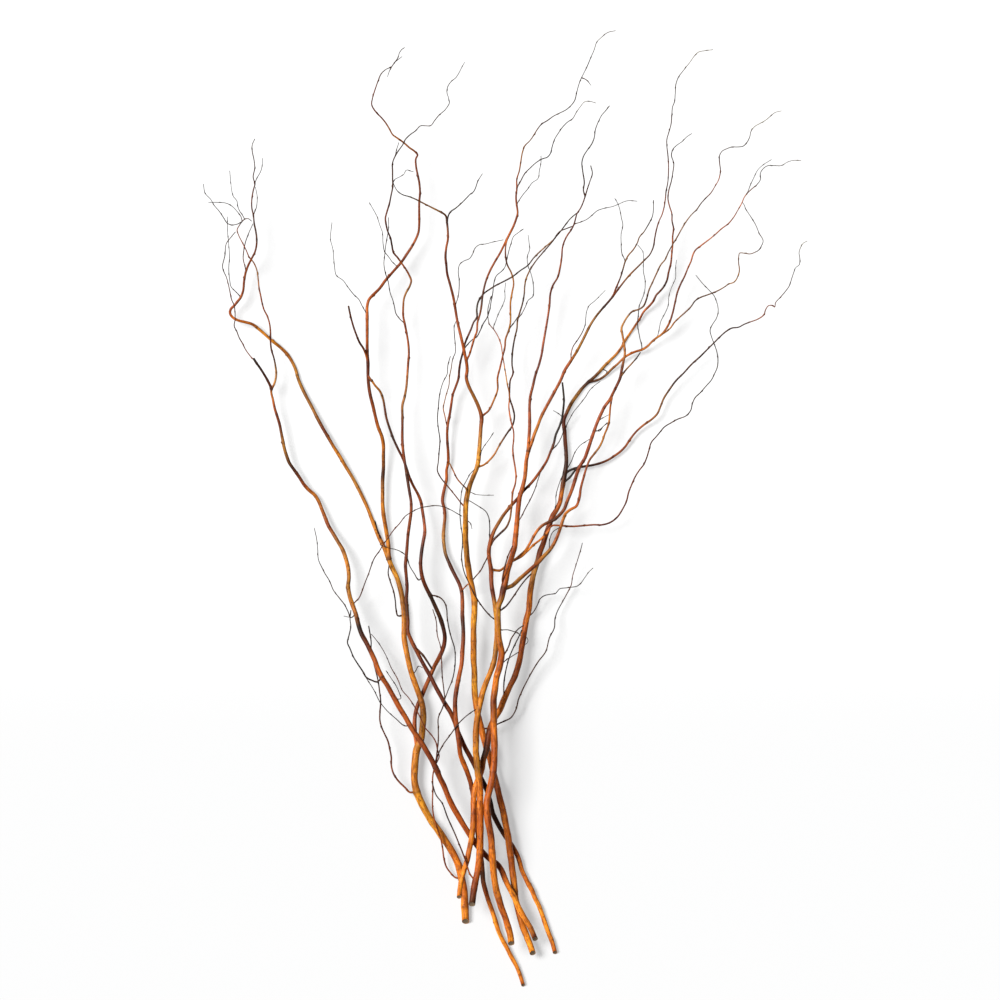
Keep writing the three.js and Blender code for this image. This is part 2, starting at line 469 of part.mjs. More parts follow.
        route: `18,-75 24,-70 31,-64 37,-55 42,-46 47,-38 53,-32 60,-28 67,-25 73,-20 80,-12
          84,-2 89,10 93,22 97,35 101,44 106,52 110,63 114,75 118,87 122,98 126,107 131,117
          137,125 141,133 146,143 150,152 152,162 154,172 156,183 155,195 153,207 152,215
          155,222 160,230 166,236 173,238 179,242 183,251 186,262 191,273 196,284 201,294
          206,300 210,309 215,318 221,328 226,337 232,347 239,356 246,363 250,369 256,376
          263,383 268,391 273,400 275,412 274,420 274,430 277,435 283,438 289,440 296,440
          303,441 308,446 311,452 313,460 317,465 324,469 331,473 337,478 342,482 350,484`,
      },
      {
        name: 'leader_side', on: 'red_leader', thick: [2.4, 2.2, 1.9, 1.6], rise: [0, 5, 8, 6],
        route: `150,152 156,161 165,171 171,178 175,184`,
      },
      {
        name: 'leader_bud', on: 'red_leader', thick: [1.2, 1], rise: [0, 7],
        route: `118,87 124,86 129,92 136,97`,
      },
      {
        name: 'dark_side', on: 'main', thick: [3, 2.5, 2.2, 2, 1.8, 1.5, 1.2, 0.9],
        rise: [0, 10, 20, 28, 22, 30, 40, 54],
        route: `-14,-64 -8,-50 0,-42 8,-34 12,-25 14,-12 15,0 16,10 19,20 20,30 19,40 17,52
          16,65 17,75 17,85 14,97 12,108 11,118 12,128 9,145 7,158 5,170 3,183 1,195 -3,205
          -8,213 -13,219 -15,228 -15,238 -13,247 -11,254`,
      },
      {
        name: 'dark_twig', on: 'dark_side', thick: [1, 0.9, 0.8], rise: [0, 16, 34],
        route: `-8,213 -5,224 -1,234 3,242 6,250 6,260 7,270`,
      },
      {
        name: 'base_twig', on: 'main', thick: [2.2, 2, 1.8, 1.6], rise: [0, 6, 10, 4],
        route: `-31,-478 -38,-466 -43,-450 -48,-437 -57,-415 -66,-395 -72,-379 -80,-368 -85,-352`,
      },
      {
        name: 'end_twig', on: 'main', thick: [1.4, 1.2], rise: [0, 6],
        route: `63,60 72,70 78,82 80,90`,
      },
      {
        name: 'thin_side', on: 'main', thick: [1.8, 1.6, 1.4, 1.2, 1], rise: [0, 16, 26, 30, 28],
        route: `-4,-152 -12,-145 -20,-136 -27,-126 -33,-116 -39,-103 -44,-92 -47,-80 -48,-70
          -47,-58 -47,-45 -49,-30 -50,-15 -49,0 -47,14 -42,24 -36,34 -32,38`,
      },
    ],
  },
  {
    name: 'stem_top',
    colour: 0xa05414,
    runs: [
      {
        name: 'main', thick: [8, 8.6, 8.8, 8.4, 8, 7.4, 6.2, 4.3, 3.1, 2.5, 2, 1.3],
        rise: [0, 3, 5, 5, 8, 10, 6, 14, 20, 16, 32, 50],
        route: `14,-554 13,-545 9,-530 6,-520 2,-510 -1,-500 -4,-490 -6,-480 -8,-465 -9,-450
          -10,-438 -11,-422 -13,-410 -15,-400 -16,-390 -16.5,-380 -15,-370 -12.5,-360 -10,-350
          -8.5,-340 -7.5,-330 -7,-315 -7,-300 -7.5,-288 -8,-275 -8,-260 -8,-248 -6.5,-238
          -5.5,-230 -4,-220 -1,-210 1,-200 2,-190 0,-180 -2,-168 -2.5,-155 -3,-142 -2,-132
          2,-122 4,-112 7,-100 9,-90 12,-80 15,-70 18,-60 19,-50 20,-40 21,-30 22,-18 23,-8
          25,5 28,15 31,28 32,38 33,50 35,60 36,75 37,90 37,105 37,120 38,130 41,142 44,155
          49,170 52,182 54,195 57,212 60,230 62,245 63,258 66,268 72,278 75,290 77,303 78,315
          80,322 84,330 89,337 92,343 94,350 96,357 100,363 104,372 106,378 109,388 112,397
          115,407 113,416`,
      },
      {
        name: 'tip', on: 'main', thick: [1.8, 1.6, 1.4, 1.2, 1], rise: [0, 8, 18, 22, 34],
        route: `106,378 104,385 105,395 103,410 102,420 104,428 109,436 114,443 117,450 119,462
          123,472 126,478 132,485 136,490`,
      },
      {
        name: 'fine_right', on: 'main', thick: [1.3, 1.1, 0.9, 0.8], rise: [0, 12, 24, 40],
        route: `92,343 100,346 109,350 115,355 121,360 130,363 140,365 148,368 155,371 160,372
          170,371`,
      },
      {
        name: 'leader', on: 'main', thick: [4.2, 3.9, 3.8, 3.2, 2.5, 1.9, 1.6, 1.4, 1.2, 1, 0.8],
        rise: [0, 6, 12, 24, 18, 30, 44, 40, 52, 66, 84],
        route: `35,60 39,70 43,82 47,92 51,103 56,113 62,124 68,135 76,150 81,162 88,173 95,184
          101,195 107,207 112,217 119,228 127,238 135,247 140,253 149,265 156,274 163,282
          172,291 181,300 186,305 191,315 193,327 195,337 198,347 202,356 204,363 206,375
          207,385 209,395 210,408 210,420 209,432 208,440 208,450 210,457 213,468 214,480
          215,490 217,495 218,505 219,518 222,526 228,534 236,544 241,551 246,556 255,558
          264,559`,
      },
      {
        name: 'leader_fork', on: 'leader', thick: [2.4, 2.1, 1.8, 1.4, 1], rise: [0, 10, 16, 28, 42],
        route: `140,253 145,265 150,277 154,290 156,297 160,305 166,312 171,320 174,328 180,335
          183,340 187,347 190,354 191,362 191,373`,
      },
      {
        name: 'fork_twig', on: 'leader_fork', thick: [1.2, 1, 0.8], rise: [0, 18, 30],
        route: `156,297 152,308 151,320 151,332 153,342 151,352 149,362 147,368 143,375`,
      },
      {
        name: 'leader_twig', on: 'leader', thick: [1.6, 1.3, 1, 0.8], rise: [0, 14, 26, 44],
        route: `88,173 89,184 91,191 97,200 103,210 106,218 107,227 108,235 111,242 118,248
          125,255 131,261`,
      },
      {
        name: 'right_arm', on: 'main', thick: [5, 5, 4.6, 3.8, 3.2, 2.7, 2.5, 2.4],
        rise: [0, 2, 4, 8, 12, 6, 10, 14],
        route: `4,-112 15,-107 25,-98 33,-91 41,-84 49,-77 55,-70 61,-64 66,-57 71,-47 75,-36
          79,-24 82,-17 88,-12 95,-8 99,2 101,15 105,30 108,40 112,50 118,58 124,66 128,74
          131,83 134,90 136,97 137,107 138,118 140,128`,
      },
      {
        name: 'arm_twig', on: 'right_arm', thick: [1.3, 1.2], rise: [0, 9],
        route: `61,-64 62,-50 66,-40 75,-34`,
      },
      {
        name: 'black_twig', on: 'main', thick: [2.1, 2, 1.8], rise: [0, 6, 4],
        route: `-3,-142 8,-132 17,-120 25,-108 33,-98 39,-92`,
      },
      {
        name: 'side_pair', on: 'main', thick: [2.2, 2, 1.8], rise: [0, 8, 4],
        route: `4,-112 3,-100 5,-88 8,-76 12,-65 16,-57`,
      },
      {
        name: 'long_thin', on: 'main', thick: [1.6, 1.4, 1.3], rise: [0, 6, 2],
        route: `21,-30 26,-22 32,-10 38,1 43,12 47,24 50,33`,
      },
      {
        name: 'whisker_a', on: 'main', thick: [1.4, 1.2], rise: [0, 5],
        route: `-2.5,-155 0,-161 10,-162 17,-164 22,-166 26,-169`,
      },
      {
        name: 'whisker_b', on: 'main', thick: [1.6, 1.3], rise: [0, -4],
        route: `-1,-210 5,-202 15,-195 23,-190`,
      },
      {
        name: 'whisker_c', on: 'main', thick: [1.9, 1.8, 1.6], rise: [0, 6, 4],
        route: `1,-200 7,-190 11,-182 14,-173 18,-167 24,-160 29,-157`,
      },
    ],
  },
];

// Sides of a run's section: the thicker the run, the rounder
const sidesFor = (radius) => (radius > 2.4 ? 7 : radius > 1.45 ? 5 : radius > 0.85 ? 4 : 3);

const parseRoute = (text) => text.trim().split(/\s+/).map((pair) => pair.split(',').map(Number));

// A value from a list spread evenly over 0 to 1
function spread(values, share) {
  const place = Math.min(Math.max(share, 0), 1) * (values.length - 1);
  const low = Math.min(Math.floor(place), values.length - 2);
  return values[low] + (values[low + 1] - values[low]) * (place - low);
}

// The same, eased so that it changes smoothly at each value
function easedSpread(values, share) {
  const place = Math.min(Math.max(share, 0), 1) * (values.length - 1);
  const low = Math.min(Math.floor(place), values.length - 2);
  const ease = (1 - Math.cos(Math.PI * (place - low))) / 2;
  return values[low] + (values[low + 1] - values[low]) * ease;
}

const distance = (a, b) => Math.hypot(a[0] - b[0], a[1] - b[1]);

function distanceToLine(p, a, b) {
  const length = distance(a, b) || 1e-9;
  return Math.abs((b[0] - a[0]) * (a[1] - p[1]) - (a[0] - p[0]) * (b[1] - a[1])) / length;
}

// Keeps the points that the route's shape needs, and those where a branch leaves
function thinRoute(points, forks) {
  const kept = new Set([0, points.length - 1, ...forks]);
  const split = (first, last) => {
    let widest = 0;
    let at = -1;
    for (let i = first + 1; i < last; i++) {
      const away = distanceToLine(points[i], points[first], points[last]);
      if (away > widest) {
        widest = away;
        at = i;
      }
    }
    const tooLong = last - first > 1 && distance(points[first], points[last]) > RUN_SPACING;
    if (widest > PLAN_TOLERANCE || tooLong) {
      const middle = widest > PLAN_TOLERANCE ? at : Math.floor((first + last) / 2);
      kept.add(middle);
      split(first, middle);
      split(middle, last);
    }
  };
  const stops = [...kept].sort((a, b) => a - b);
  for (let i = 0; i < stops.length - 1; i++) split(stops[i], stops[i + 1]);
  return [...kept].sort((a, b) => a - b);
}

const nearestIndex = (points, p) =>
  points.reduce((best, q, i) => (distance(p, q) < distance(p, points[best]) ? i : best), 0);

// A stem as a tree of nodes: x, y, radius r, and clear, the height under the node that its own
// growth gives it. links join neighbouring nodes, roots before tips.
function layOut(stem) {
  const nodes = [];
  const links = [];
  const runs = {};
  for (const run of stem.runs) runs[run.name] = { ...run, points: parseRoute(run.route), forks: [] };
  for (const run of Object.values(runs)) {
    if (run.on) {
      run.forkAt = nearestIndex(runs[run.on].points, run.points[0]);
      runs[run.on].forks.push(run.forkAt);
    }
  }
  for (const run of Object.values(runs)) {
    const travel = [0];
    for (let i = 1; i < run.points.length; i++) {
      travel.push(travel[i - 1] + distance(run.points[i - 1], run.points[i]));
    }
    const length = travel.at(-1);
    const parent = run.on ? runs[run.on].nodeAt.get(run.forkAt) : null;
    const base = run.on ? nodes[parent].clear + nodes[parent].r - run.thick[0] / 2 : 0;
    run.nodeAt = new Map();
    run.path = [];
    for (const i of thinRoute(run.points, run.forks)) {
      const share = travel[i] / length;
      const r = spread(run.thick, share) / 2;
      if (i === 0 && run.on) {
        run.nodeAt.set(i, parent);
        run.path.push(parent);
        continue;
      }
      const clear = Math.max(0, base + easedSpread(run.rise, share));
      nodes.push({ x: run.points[i][0], y: run.points[i][1], r, clear });
      run.nodeAt.set(i, nodes.length - 1);
      run.path.push(nodes.length - 1);
      if (run.path.length > 1) {
        const [a, b] = run.path.slice(-2);
        links.push({ a, b, length: Math.hypot(nodes[a].x - nodes[b].x, nodes[a].y - nodes[b].y) });
      }
    }
    run.rootRadius = run.thick[0] / 2;
  }
  return { nodes, links, runs: Object.values(runs) };
}

// The share of the way along a-b that is nearest to p in plan
function nearestShare(p, a, b) {
  const dx = b.x - a.x;
  const dy = b.y - a.y;
  const share = ((p.x - a.x) * dx + (p.y - a.y) * dy) / (dx * dx + dy * dy);
  return Math.min(Math.max(share, 0), 1);
}

const along = (a, b, share) => ({
  x: a.x + (b.x - a.x) * share, y: a.y + (b.y - a.y) * share, z: a.z + (b.z - a.z) * share,
});

// Where two straight pieces cross in plan, as shares of each, or null
function crossing(a, b, c, d) {
  const turn = (b.x - a.x) * (d.y - c.y) - (b.y - a.y) * (d.x - c.x);
  if (Math.abs(turn) < 1e-9) return null;
  const s = ((c.x - a.x) * (d.y - c.y) - (c.y - a.y) * (d.x - c.x)) / turn;
  const t = ((c.x - a.x) * (b.y - a.y) - (c.y - a.y) * (b.x - a.x)) / turn;
  return s >= 0 && s <= 1 && t >= 0 && t <= 1 ? [s, t] : null;
}

// The least height of the piece a-b, with radius r, that clears the laid piece under it
function heightOver(a, b, r, laid) {
  const { c, d } = laid;
  const reach = r + laid.r + GAP;
  if (Math.max(a.x, b.x) + reach < laid.minX || Math.min(a.x, b.x) - reach > laid.maxX) return 0;
  if (Math.max(a.y, b.y) + reach < laid.minY || Math.min(a.y, b.y) - reach > laid.maxY) return 0;
  const pairs = [[0, nearestShare(a, c, d)], [1, nearestShare(b, c, d)],
    [nearestShare(c, a, b), 0], [nearestShare(d, a, b), 1]];
  const meet = crossing(a, b, c, d);
  if (meet) pairs.push(meet);
  let height = 0;
  for (const [s, t] of pairs) {
    const p = along({ ...a, z: 0 }, { ...b, z: 0 }, s);
    const q = along(c, d, t);
    const apart = Math.hypot(p.x - q.x, p.y - q.y);
    if (apart < reach) height = Math.max(height, q.z + laid.steep * Math.sqrt(reach * reach - apart * apart));
  }
  return height;
}

// Lays a stem over those that already lie, as low as its own growth and its stiffness let it
function layDown(plan, laid) {
  const { nodes, links } = plan;
  for (const node of nodes) node.least = 0;
  for (const { a, b } of links) {
    const r = Math.max(nodes[a].r, nodes[b].r);
    for (const piece of laid) {
      const height = heightOver(nodes[a], nodes[b], r, piece);
      nodes[a].least = Math.max(nodes[a].least, height);
      nodes[b].least = Math.max(nodes[b].least, height);
    }
  }
  for (const node of nodes) {
    node.bound = Math.max(0, node.least - node.clear - node.r);
    node.lift = node.bound;
  }
  const slope = ({ a, b }) => Math.min(STEEPEST, BEND / Math.max(nodes[a].r, nodes[b].r));
  const pull = (from, to, link) => {
    to.lift = Math.max(to.lift, from.lift - slope(link) * link.length);
  };
  for (const link of [...links].reverse()) pull(nodes[link.b], nodes[link.a], link);
  for (const link of links) pull(nodes[link.a], nodes[link.b], link);
  for (let pass = 0; pass < EASE_PASSES; pass++) {
    for (const node of nodes) node.sum = node.weight = 0;
    for (const { a, b, length } of links) {
      const weight = Math.min(nodes[a].r, nodes[b].r) / length;
      nodes[a].sum += weight * nodes[b].lift;
      nodes[a].weight += weight;
      nodes[b].sum += weight * nodes[a].lift;
      nodes[b].weight += weight;
    }
    for (const node of nodes) node.lift = Math.max(node.bound, (node.lift + node.sum / node.weight) / 2);
  }
  for (const node of nodes) node.z = node.clear + node.lift + node.r;
}

// The pieces of a laid stem, for the stems that come to lie on it
function piecesOf({ nodes, links }) {
  return links.map(({ a, b, length }) => {
    const [c, d] = [nodes[a], nodes[b]];
    return {
      c, d, r: Math.max(c.r, d.r), steep: Math.hypot(1, (d.z - c.z) / length),
      minX: Math.min(c.x, d.x), maxX: Math.max(c.x, d.x), minY: Math.min(c.y, d.y), maxY: Math.max(c.y, d.y),
    };
  });
}

// A closed tube through rings of the given radii, its butt cut on the slant where asked
function tube(points, radii, slanted) {
  const sides = sidesFor(Math.max(...radii));
  const up = new THREE.Vector3(0, 0, 1);
  const positions = [];
  points.forEach((point, i) => {
    const before = points[Math.max(i - 1, 0)];
    const after = points[Math.min(i + 1, points.length - 1)];
    const ahead = after.clone().sub(point).normalize().add(point.clone().sub(before).normalize()).normalize();
    const side = ahead.clone().cross(up).normalize();
    const top = side.clone().cross(ahead);
    for (let k = 0; k < sides; k++) {
      const angle = (2 * Math.PI * (k + 0.5)) / sides;
      const lean = i === 0 && slanted ? SLANT * Math.sin(angle) : 0;
      const corner = point.clone().addScaledVector(side, radii[i] * Math.cos(angle))
        .addScaledVector(top, radii[i] * Math.sin(angle)).addScaledVector(ahead, radii[i] * lean);
      positions.push(corner.x, corner.y, corner.z);
    }
  });
  const faces = [];
  for (let i = 0; i < points.length - 1; i++) {
    for (let k = 0; k < sides; k++) {
      const [a, b] = [i * sides + k, i * sides + ((k + 1) % sides)];
      faces.push(a, a + sides, b + sides, a, b + sides, b);
    }
  }
  const last = (points.length - 1) * sides;
  for (let k = 1; k < sides - 1; k++) faces.push(0, k, k + 1, last, last + k + 1, last + k);
  const geometry = new THREE.BufferGeometry();
  geometry.setAttribute('position', new THREE.Float32BufferAttribute(positions, 3));
  geometry.setIndex(faces);
  return geometry;
}

function toManifold(geometry) {
  geometry.deleteAttribute('normal');
  geometry.deleteAttribute('uv');
  const merged = mergeVertices(geometry, 1e-4);
  return new wasm.Manifold(new wasm.Mesh({
    numProp: 3,
    vertProperties: new Float32Array(merged.attributes.position.array),
    triVerts: new Uint32Array(merged.index.array),
  }));
}

function toGeometry(solid) {
  const mesh = solid.getMesh();
  const geometry = new THREE.BufferGeometry();
  geometry.setAttribute('position', new THREE.BufferAttribute(new Float32Array(mesh.vertProperties), 3));
  geometry.setIndex(new THREE.BufferAttribute(new Uint32Array(mesh.triVerts), 1));
  geometry.computeVertexNormals();
  return geometry;
}

// One stem: its runs joined, and trimmed where it presses on the surface
function stemSolid({ nodes, runs }, surface) {
  let solid = null;
  for (const run of runs) {
    const points = run.path.map((i) => new THREE.Vector3(nodes[i].x, nodes[i].y, nodes[i].z - PRESS));
    const radii = run.path.map((i, k) => (k === 0 ? run.rootRadius : nodes[i].r));
    const piece = toManifold(tube(points, radii, !run.on));
    solid = solid ? solid.add(piece) : piece;
  }
  return solid.subtract(surface);
}

const plans = STEMS.map(layOut);
const laid = [];
for (const plan of plans) {
  layDown(plan, laid);
  laid.push(...piecesOf(plan));
}

const everyNode = plans.flatMap((plan) => plan.nodes);
function middle(axis) {
  const low = Math.min(...everyNode.map((node) => node[axis] - node.r));
  const high = Math.max(...everyNode.map((node) => node[axis] + node.r));
  return (low + high) / 2;
}
const surface = toManifold(new THREE.BoxGeometry(2000, 2000, FLOOR_DEPTH).translate(0, 0, -FLOOR_DEPTH / 2));

const bunch = new THREE.Group();
STEMS.forEach((stem, i) => {
  const material = new THREE.MeshStandardMaterial({ color: stem.colour, roughness: 0.55, metalness: 0 });
  const mesh = new THREE.Mesh(toGeometry(stemSolid(plans[i], surface)), material);
  mesh.name = stem.name;
  mesh.position.set(-middle('x'), -middle('y'), 0);
  bunch.add(mesh);
});

export default bunch;
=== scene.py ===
# %% [markdown]
# # A bunch of curly willow stems
# Eight dried stems of curly willow lie loosely on a pale surface, butts together and tips fanned out.
# The solids of the eight stems are already there, as a frame, at their real size. This lesson gives each
# one a finer piece: round runs with swollen nodes, buds, leaf scars, collars at the forks and cut ends,
# and a bark whose colour changes along the stem as it does on the real one. Lengths in the lists are
# millimetres, because a maker measures stems in them, and become metres when a mesh is made.

# %% Load the frame
import math
import random
from functools import partial

import bpy
import numpy as np
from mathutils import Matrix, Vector


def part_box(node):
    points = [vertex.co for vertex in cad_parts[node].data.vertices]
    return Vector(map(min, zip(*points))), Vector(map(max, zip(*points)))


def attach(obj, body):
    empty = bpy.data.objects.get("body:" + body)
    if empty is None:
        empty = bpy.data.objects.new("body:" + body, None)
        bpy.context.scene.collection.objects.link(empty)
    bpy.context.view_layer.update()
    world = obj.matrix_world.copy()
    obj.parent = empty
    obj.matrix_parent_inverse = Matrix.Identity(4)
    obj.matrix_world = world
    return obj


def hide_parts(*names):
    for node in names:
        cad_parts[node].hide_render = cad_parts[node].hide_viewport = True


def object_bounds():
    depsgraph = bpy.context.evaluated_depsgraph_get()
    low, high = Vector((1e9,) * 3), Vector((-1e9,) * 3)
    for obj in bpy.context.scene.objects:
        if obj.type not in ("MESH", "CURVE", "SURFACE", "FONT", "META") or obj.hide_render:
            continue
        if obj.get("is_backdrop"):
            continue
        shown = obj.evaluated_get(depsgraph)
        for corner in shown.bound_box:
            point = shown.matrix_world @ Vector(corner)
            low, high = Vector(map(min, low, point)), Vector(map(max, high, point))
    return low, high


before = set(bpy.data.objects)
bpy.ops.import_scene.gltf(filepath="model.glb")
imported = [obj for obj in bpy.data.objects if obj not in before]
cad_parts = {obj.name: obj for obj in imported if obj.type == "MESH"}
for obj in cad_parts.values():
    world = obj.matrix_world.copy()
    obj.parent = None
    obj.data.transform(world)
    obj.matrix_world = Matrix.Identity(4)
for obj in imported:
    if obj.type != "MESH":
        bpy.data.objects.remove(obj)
CAD_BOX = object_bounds()
MM = 0.001
print("frame:", len(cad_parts), "stems,", [round(v, 3) for v in CAD_BOX[1] - CAD_BOX[0]], "m")

# %% [markdown]
# ## The bark colours
# Some entries are painted light: a stem is given a brighter colour where it lies in the shade of the stems
# over it.
# Willow bark isn't one colour. The old wood near the butts is golden to orange, the forks and shaded
# stretches go brown, the young leaders are red, and the finest twigs are grey-brown. Painting that with
# a picture would tie it to one view. Instead each run gets a short list of colour names in order from
# its root to its tip, taken from this palette, and the colour is blended between them along the run.
# The photograph is exposed until its white surface has no tone left, so the bark's own colour is a good
# deal darker than it looks there.

# %% Name the bark colours
PALETTE = {
    "honey": (248, 148, 42),
    "gold": (228, 152, 46),
    "ochre": (202, 122, 36),
    "amber": (222, 120, 32),
    "orange": (194, 96, 28),
    "tan": (204, 140, 66),
    "olive": (164, 106, 38),
    "rose": (164, 80, 46),
    "russet": (158, 76, 28),
    "chestnut": (112, 50, 24),
    "umber": (76, 43, 27),
    "slate": (66, 54, 46),
    "ash": (124, 112, 100),
    "soot": (42, 30, 26),
}
EXPOSURE = 2.2  # how much brighter the photograph shows a finish than it is


def linear(rgb):
    """Turns a colour from 0-255 screen values into the scene's linear ones."""
    shares = [v / 255 for v in rgb]
    return [v / 12.92 if v <= 0.04045 else ((v + 0.055) / 1.055) ** 2.4 for v in shares]


def own_colour(rgb):
    """The finish's own colour, from how the photograph shows it."""
    return [v / EXPOSURE for v in linear(rgb)]


COLOURS = {name: np.array(own_colour(rgb)) for name, rgb in PALETTE.items()}
print("palette:", ", ".join(COLOURS))

# %% [markdown]
# ## The routes
# A stem is a tree of runs: its main run from butt to tip, its branches and its twigs. `on` names the run
# that a run grows from. `route` is its centre line seen from above, root to tip, as x,y points. `thick`
# is its thickness and `rise` its height above its root, both at even steps along it. A drawn route beats
# a growth rule here, because the curls of this bunch are what people know it by.

# %% Start the list of stems
STEMS = {}
USUAL_BARK = "umber soot slate soot"  # of most thin twigs


def add_run(stem, name, on, thick, rise, route, bark=USUAL_BARK):
    """Adds a run to a stem. The run named in on must be there already, and a main run has none."""
    points = [tuple(float(v) for v in pair.split(",")) for pair in route.split()]
    run = dict(name=name, on=on, thick=thick, rise=rise, bark=bark.split(), points=points, forks=[])
    STEMS.setdefault(stem, {})[name] = run


def tell(stem):
    """Prints how many runs a stem has and how long they are in plan."""
    runs = STEMS[stem].values()
    steps = [math.dist(a, b) for run in runs for a, b in zip(run["points"], run["points"][1:])]
    print(stem, len(runs), "runs,", round(sum(steps) * MM, 2), "m of wood")


print("ready for stems")

# %% [markdown]
# ### The ochre stem
# The thickest stem lies lowest and is the most golden. It forks a third of the way up: one branch
# leans far left, a straight one goes up, and a red one crosses back over both. Modelling it as a trunk
# with side branches would give the wrong taper at the fork, so the branch that keeps the most
# thickness is its main run, and each of the others starts at nearly the full thickness.

# %% Grow the ochre stem
grow = partial(add_run, "stem_ochre_forked")
grow(
    "main", None, [9.4, 9.2, 9, 7, 6.7, 4.6, 4.4, 4.1, 3.3, 2, 1], [0, 3, 8, 10, 3, 0, 6, 0, 14, 34, 52],
    "-43,-528 -44,-510 -45,-490 -48,-475 -51,-460 -55,-450 -62,-437 -70,-425 -78,-413 -86,-402 -93,-390 "
    "-99,-378 -104,-366 -107,-352 -107,-338 -106,-325 -104,-312 -99,-300 -97,-285 -96,-272 -97,-258 "
    "-100,-247 -104,-236 -108,-225 -112,-213 -115,-200 -118,-185 -120,-172 -120,-160 -120,-145 -121,-132 "
    "-123,-120 -126,-107 -130,-95 -135,-85 -139,-75 -146,-58 -151,-48 -156,-36 -161,-23 -166,-10 -172,3 "
    "-179,17 -186,30 -194,43 -201,55 -208,66 -215,78 -222,90 -229,103 -236,117 -243,130 -248,140 -253,152 "
    "-256,163 -261,174 -267,183 -275,191 -285,199 -294,207 -302,214 -310,220 -320,223 -328,225 -335,229 "
    "-338,234 -337,239 -333,243 -329,248 -325,253 -322,260 -320,275 -318,285 -315,293 -311,301 -306,311 "
    "-304,322 -305,335 -307,345 -308,355 -310,365 -310,375 -308,387 -306,395 -308,402 -306,415 -307,425 "
    "-309,435 -309,443 -306,450",
    bark="honey amber amber ochre gold ochre ochre olive ochre ochre ochre olive gold ochre ochre tan "
    "ochre chestnut olive olive ochre ochre orange russet russet umber chestnut umber slate",
)
grow(
    "upright", "main", [5.6, 4.7, 4.3, 4, 3.3, 2.6, 1.8, 0.9], [0, 6, 22, 30, 18, 26, 48, 70],
    "-139,-75 -140,-55 -142,-42 -144,-30 -146,-18 -147,-5 -147,10 -147,25 -146,40 -146,55 -146,70 -148,80 "
    "-152,90 -156,105 -159,118 -162,130 -164,142 -165,155 -165,170 -166,185 -166,200 -166,215 -166,230 "
    "-166,242 -164,250 -158,257 -151,264 -143,275 -136,283 -129,291 -123,298 -117,307 -111,316 -106,325 "
    "-102,335 -101,345 -101,358 -101,372 -100,385 -101,397 -103,407 -105,418 -105,427 -103,431 -106,435 "
    "-113,440 -120,446 -127,451 -134,456 -138,463 -143,471 -148,477 -152,481 -157,487 -160,493 -159,501 "
    "-156,511 -152,522 -148,531 -141,537 -136,539 -131,545 -127,551 -125,557 -122,561 -119,563",
    bark="ochre ochre ochre umber ochre russet chestnut chestnut russet orange russet russet russet "
    "russet chestnut russet ochre chestnut chestnut slate slate",
)
grow(
    "red", "main", [5.2, 5.4, 5.4, 4.7, 3.8, 3.1, 2.8], [0, -6, 8, 20, 12, 26, 32],
    "-104,-312 -106,-295 -107,-280 -106,-268 -103,-257 -99,-248 -95,-238 -88,-222 -82,-208 -76,-197 "
    "-71,-185 -69,-172 -71,-160 -75,-147 -81,-133 -87,-120 -93,-108 -97,-97 -99,-85 -98,-65 -96,-52 "
    "-94,-40 -95,-27 -97,-14 -99,-2 -103,8 -108,17 -113,28 -117,40 -121,51 -127,63 -133,76 -138,90 "
    "-142,103 -144,115 -146,126 -150,136 -156,143 -160,149",
    bark="orange orange rose russet russet russet russet chestnut umber umber soot chestnut chestnut "
    "umber rose rose rose russet rose chestnut umber umber chestnut olive ochre",
)
grow(
    "side_left", "main", [2.6, 2.2, 1.8, 1.6], [0, 14, 30, 22],
    "-107,-366 -113,-366 -119,-360 -127,-352 -133,-343 -136,-332 -136,-322 -138,-311 -140,-302 -144,-293 "
    "-148,-284 -150,-276 -150,-265 -149,-252 -150,-242 -153,-222 -156,-210 -159,-198 -161,-188 -161,-178 "
    "-164,-158",
    bark="russet chestnut umber soot",
)
grow(
    "low_twig", "main", [2.2, 1.9, 1.5, 0.9], [0, 22, 34, 12],
    "-48,-475 -56,-473 -62,-467 -67,-460 -70,-450 -72,-435 -74,-425 -78,-412 -82,-400 -84,-388 -84,-360 "
    "-84,-345 -82,-335 -79,-328 -76,-320 -78,-313 -80,-303 -86,-293 -93,-285 -98,-275 -104,-263 -108,-256 "
    "-115,-246 -122,-238 -127,-226 -130,-220 -136,-210 -141,-198 -148,-185 -155,-175 -161,-168",
    bark="russet russet chestnut umber",
)
grow(
    "inner_twig", "main", [2, 1.8, 1.6], [0, 10, 4],
    "-120,-145 -128,-145 -130,-138 -131,-127 -133,-115 -137,-103 -140,-92 -139,-82",
    bark="umber soot umber soot",
)
grow(
    "loop_twig", "red", [1.8, 1.6, 1.4], [0, -8, 10],
    "-87,-120 -77,-121 -70,-127 -67,-135 -66,-147 -64,-160 -61,-172 -57,-185 -56,-200 -57,-213 -60,-226 "
    "-65,-238 -69,-249",
    bark="umber slate soot umber",
)
grow(
    "bridge_twig", "red", [1.5, 1.3, 1], [0, 8, 4],
    "-97,-97 -101,-100 -107,-92 -113,-82 -117,-70 -123,-65 -130,-62 -139,-60 -150,-56",
    bark="umber slate soot",
)
grow("spur_a", "main", [1.3, 1.2], [0, 8], "-151,-48 -154,-37 -157,-26")
grow(
    "spur_b", "upright", [3, 2.6, 2.2], [0, 10, 22],
    "-165,170 -171,190 -175,196 -180,208 -184,220 -187,232 -189,242",
    bark="orange umber chestnut umber",
)
grow(
    "twig_c", "upright", [1.2, 1, 0.8], [0, 30, 46],
    "-166,230 -172,242 -176,250 -183,257 -190,266 -196,274 -204,280 -206,290 -207,300 -208,312 -211,325 "
    "-210,337 -209,345",
)
grow(
    "twig_d", "upright", [1.1, 1, 0.8], [0, 22, 30],
    "-129,291 -135,298 -140,305 -144,310 -146,320 -147,335 -150,343 -154,355 -159,364 -163,371",
)
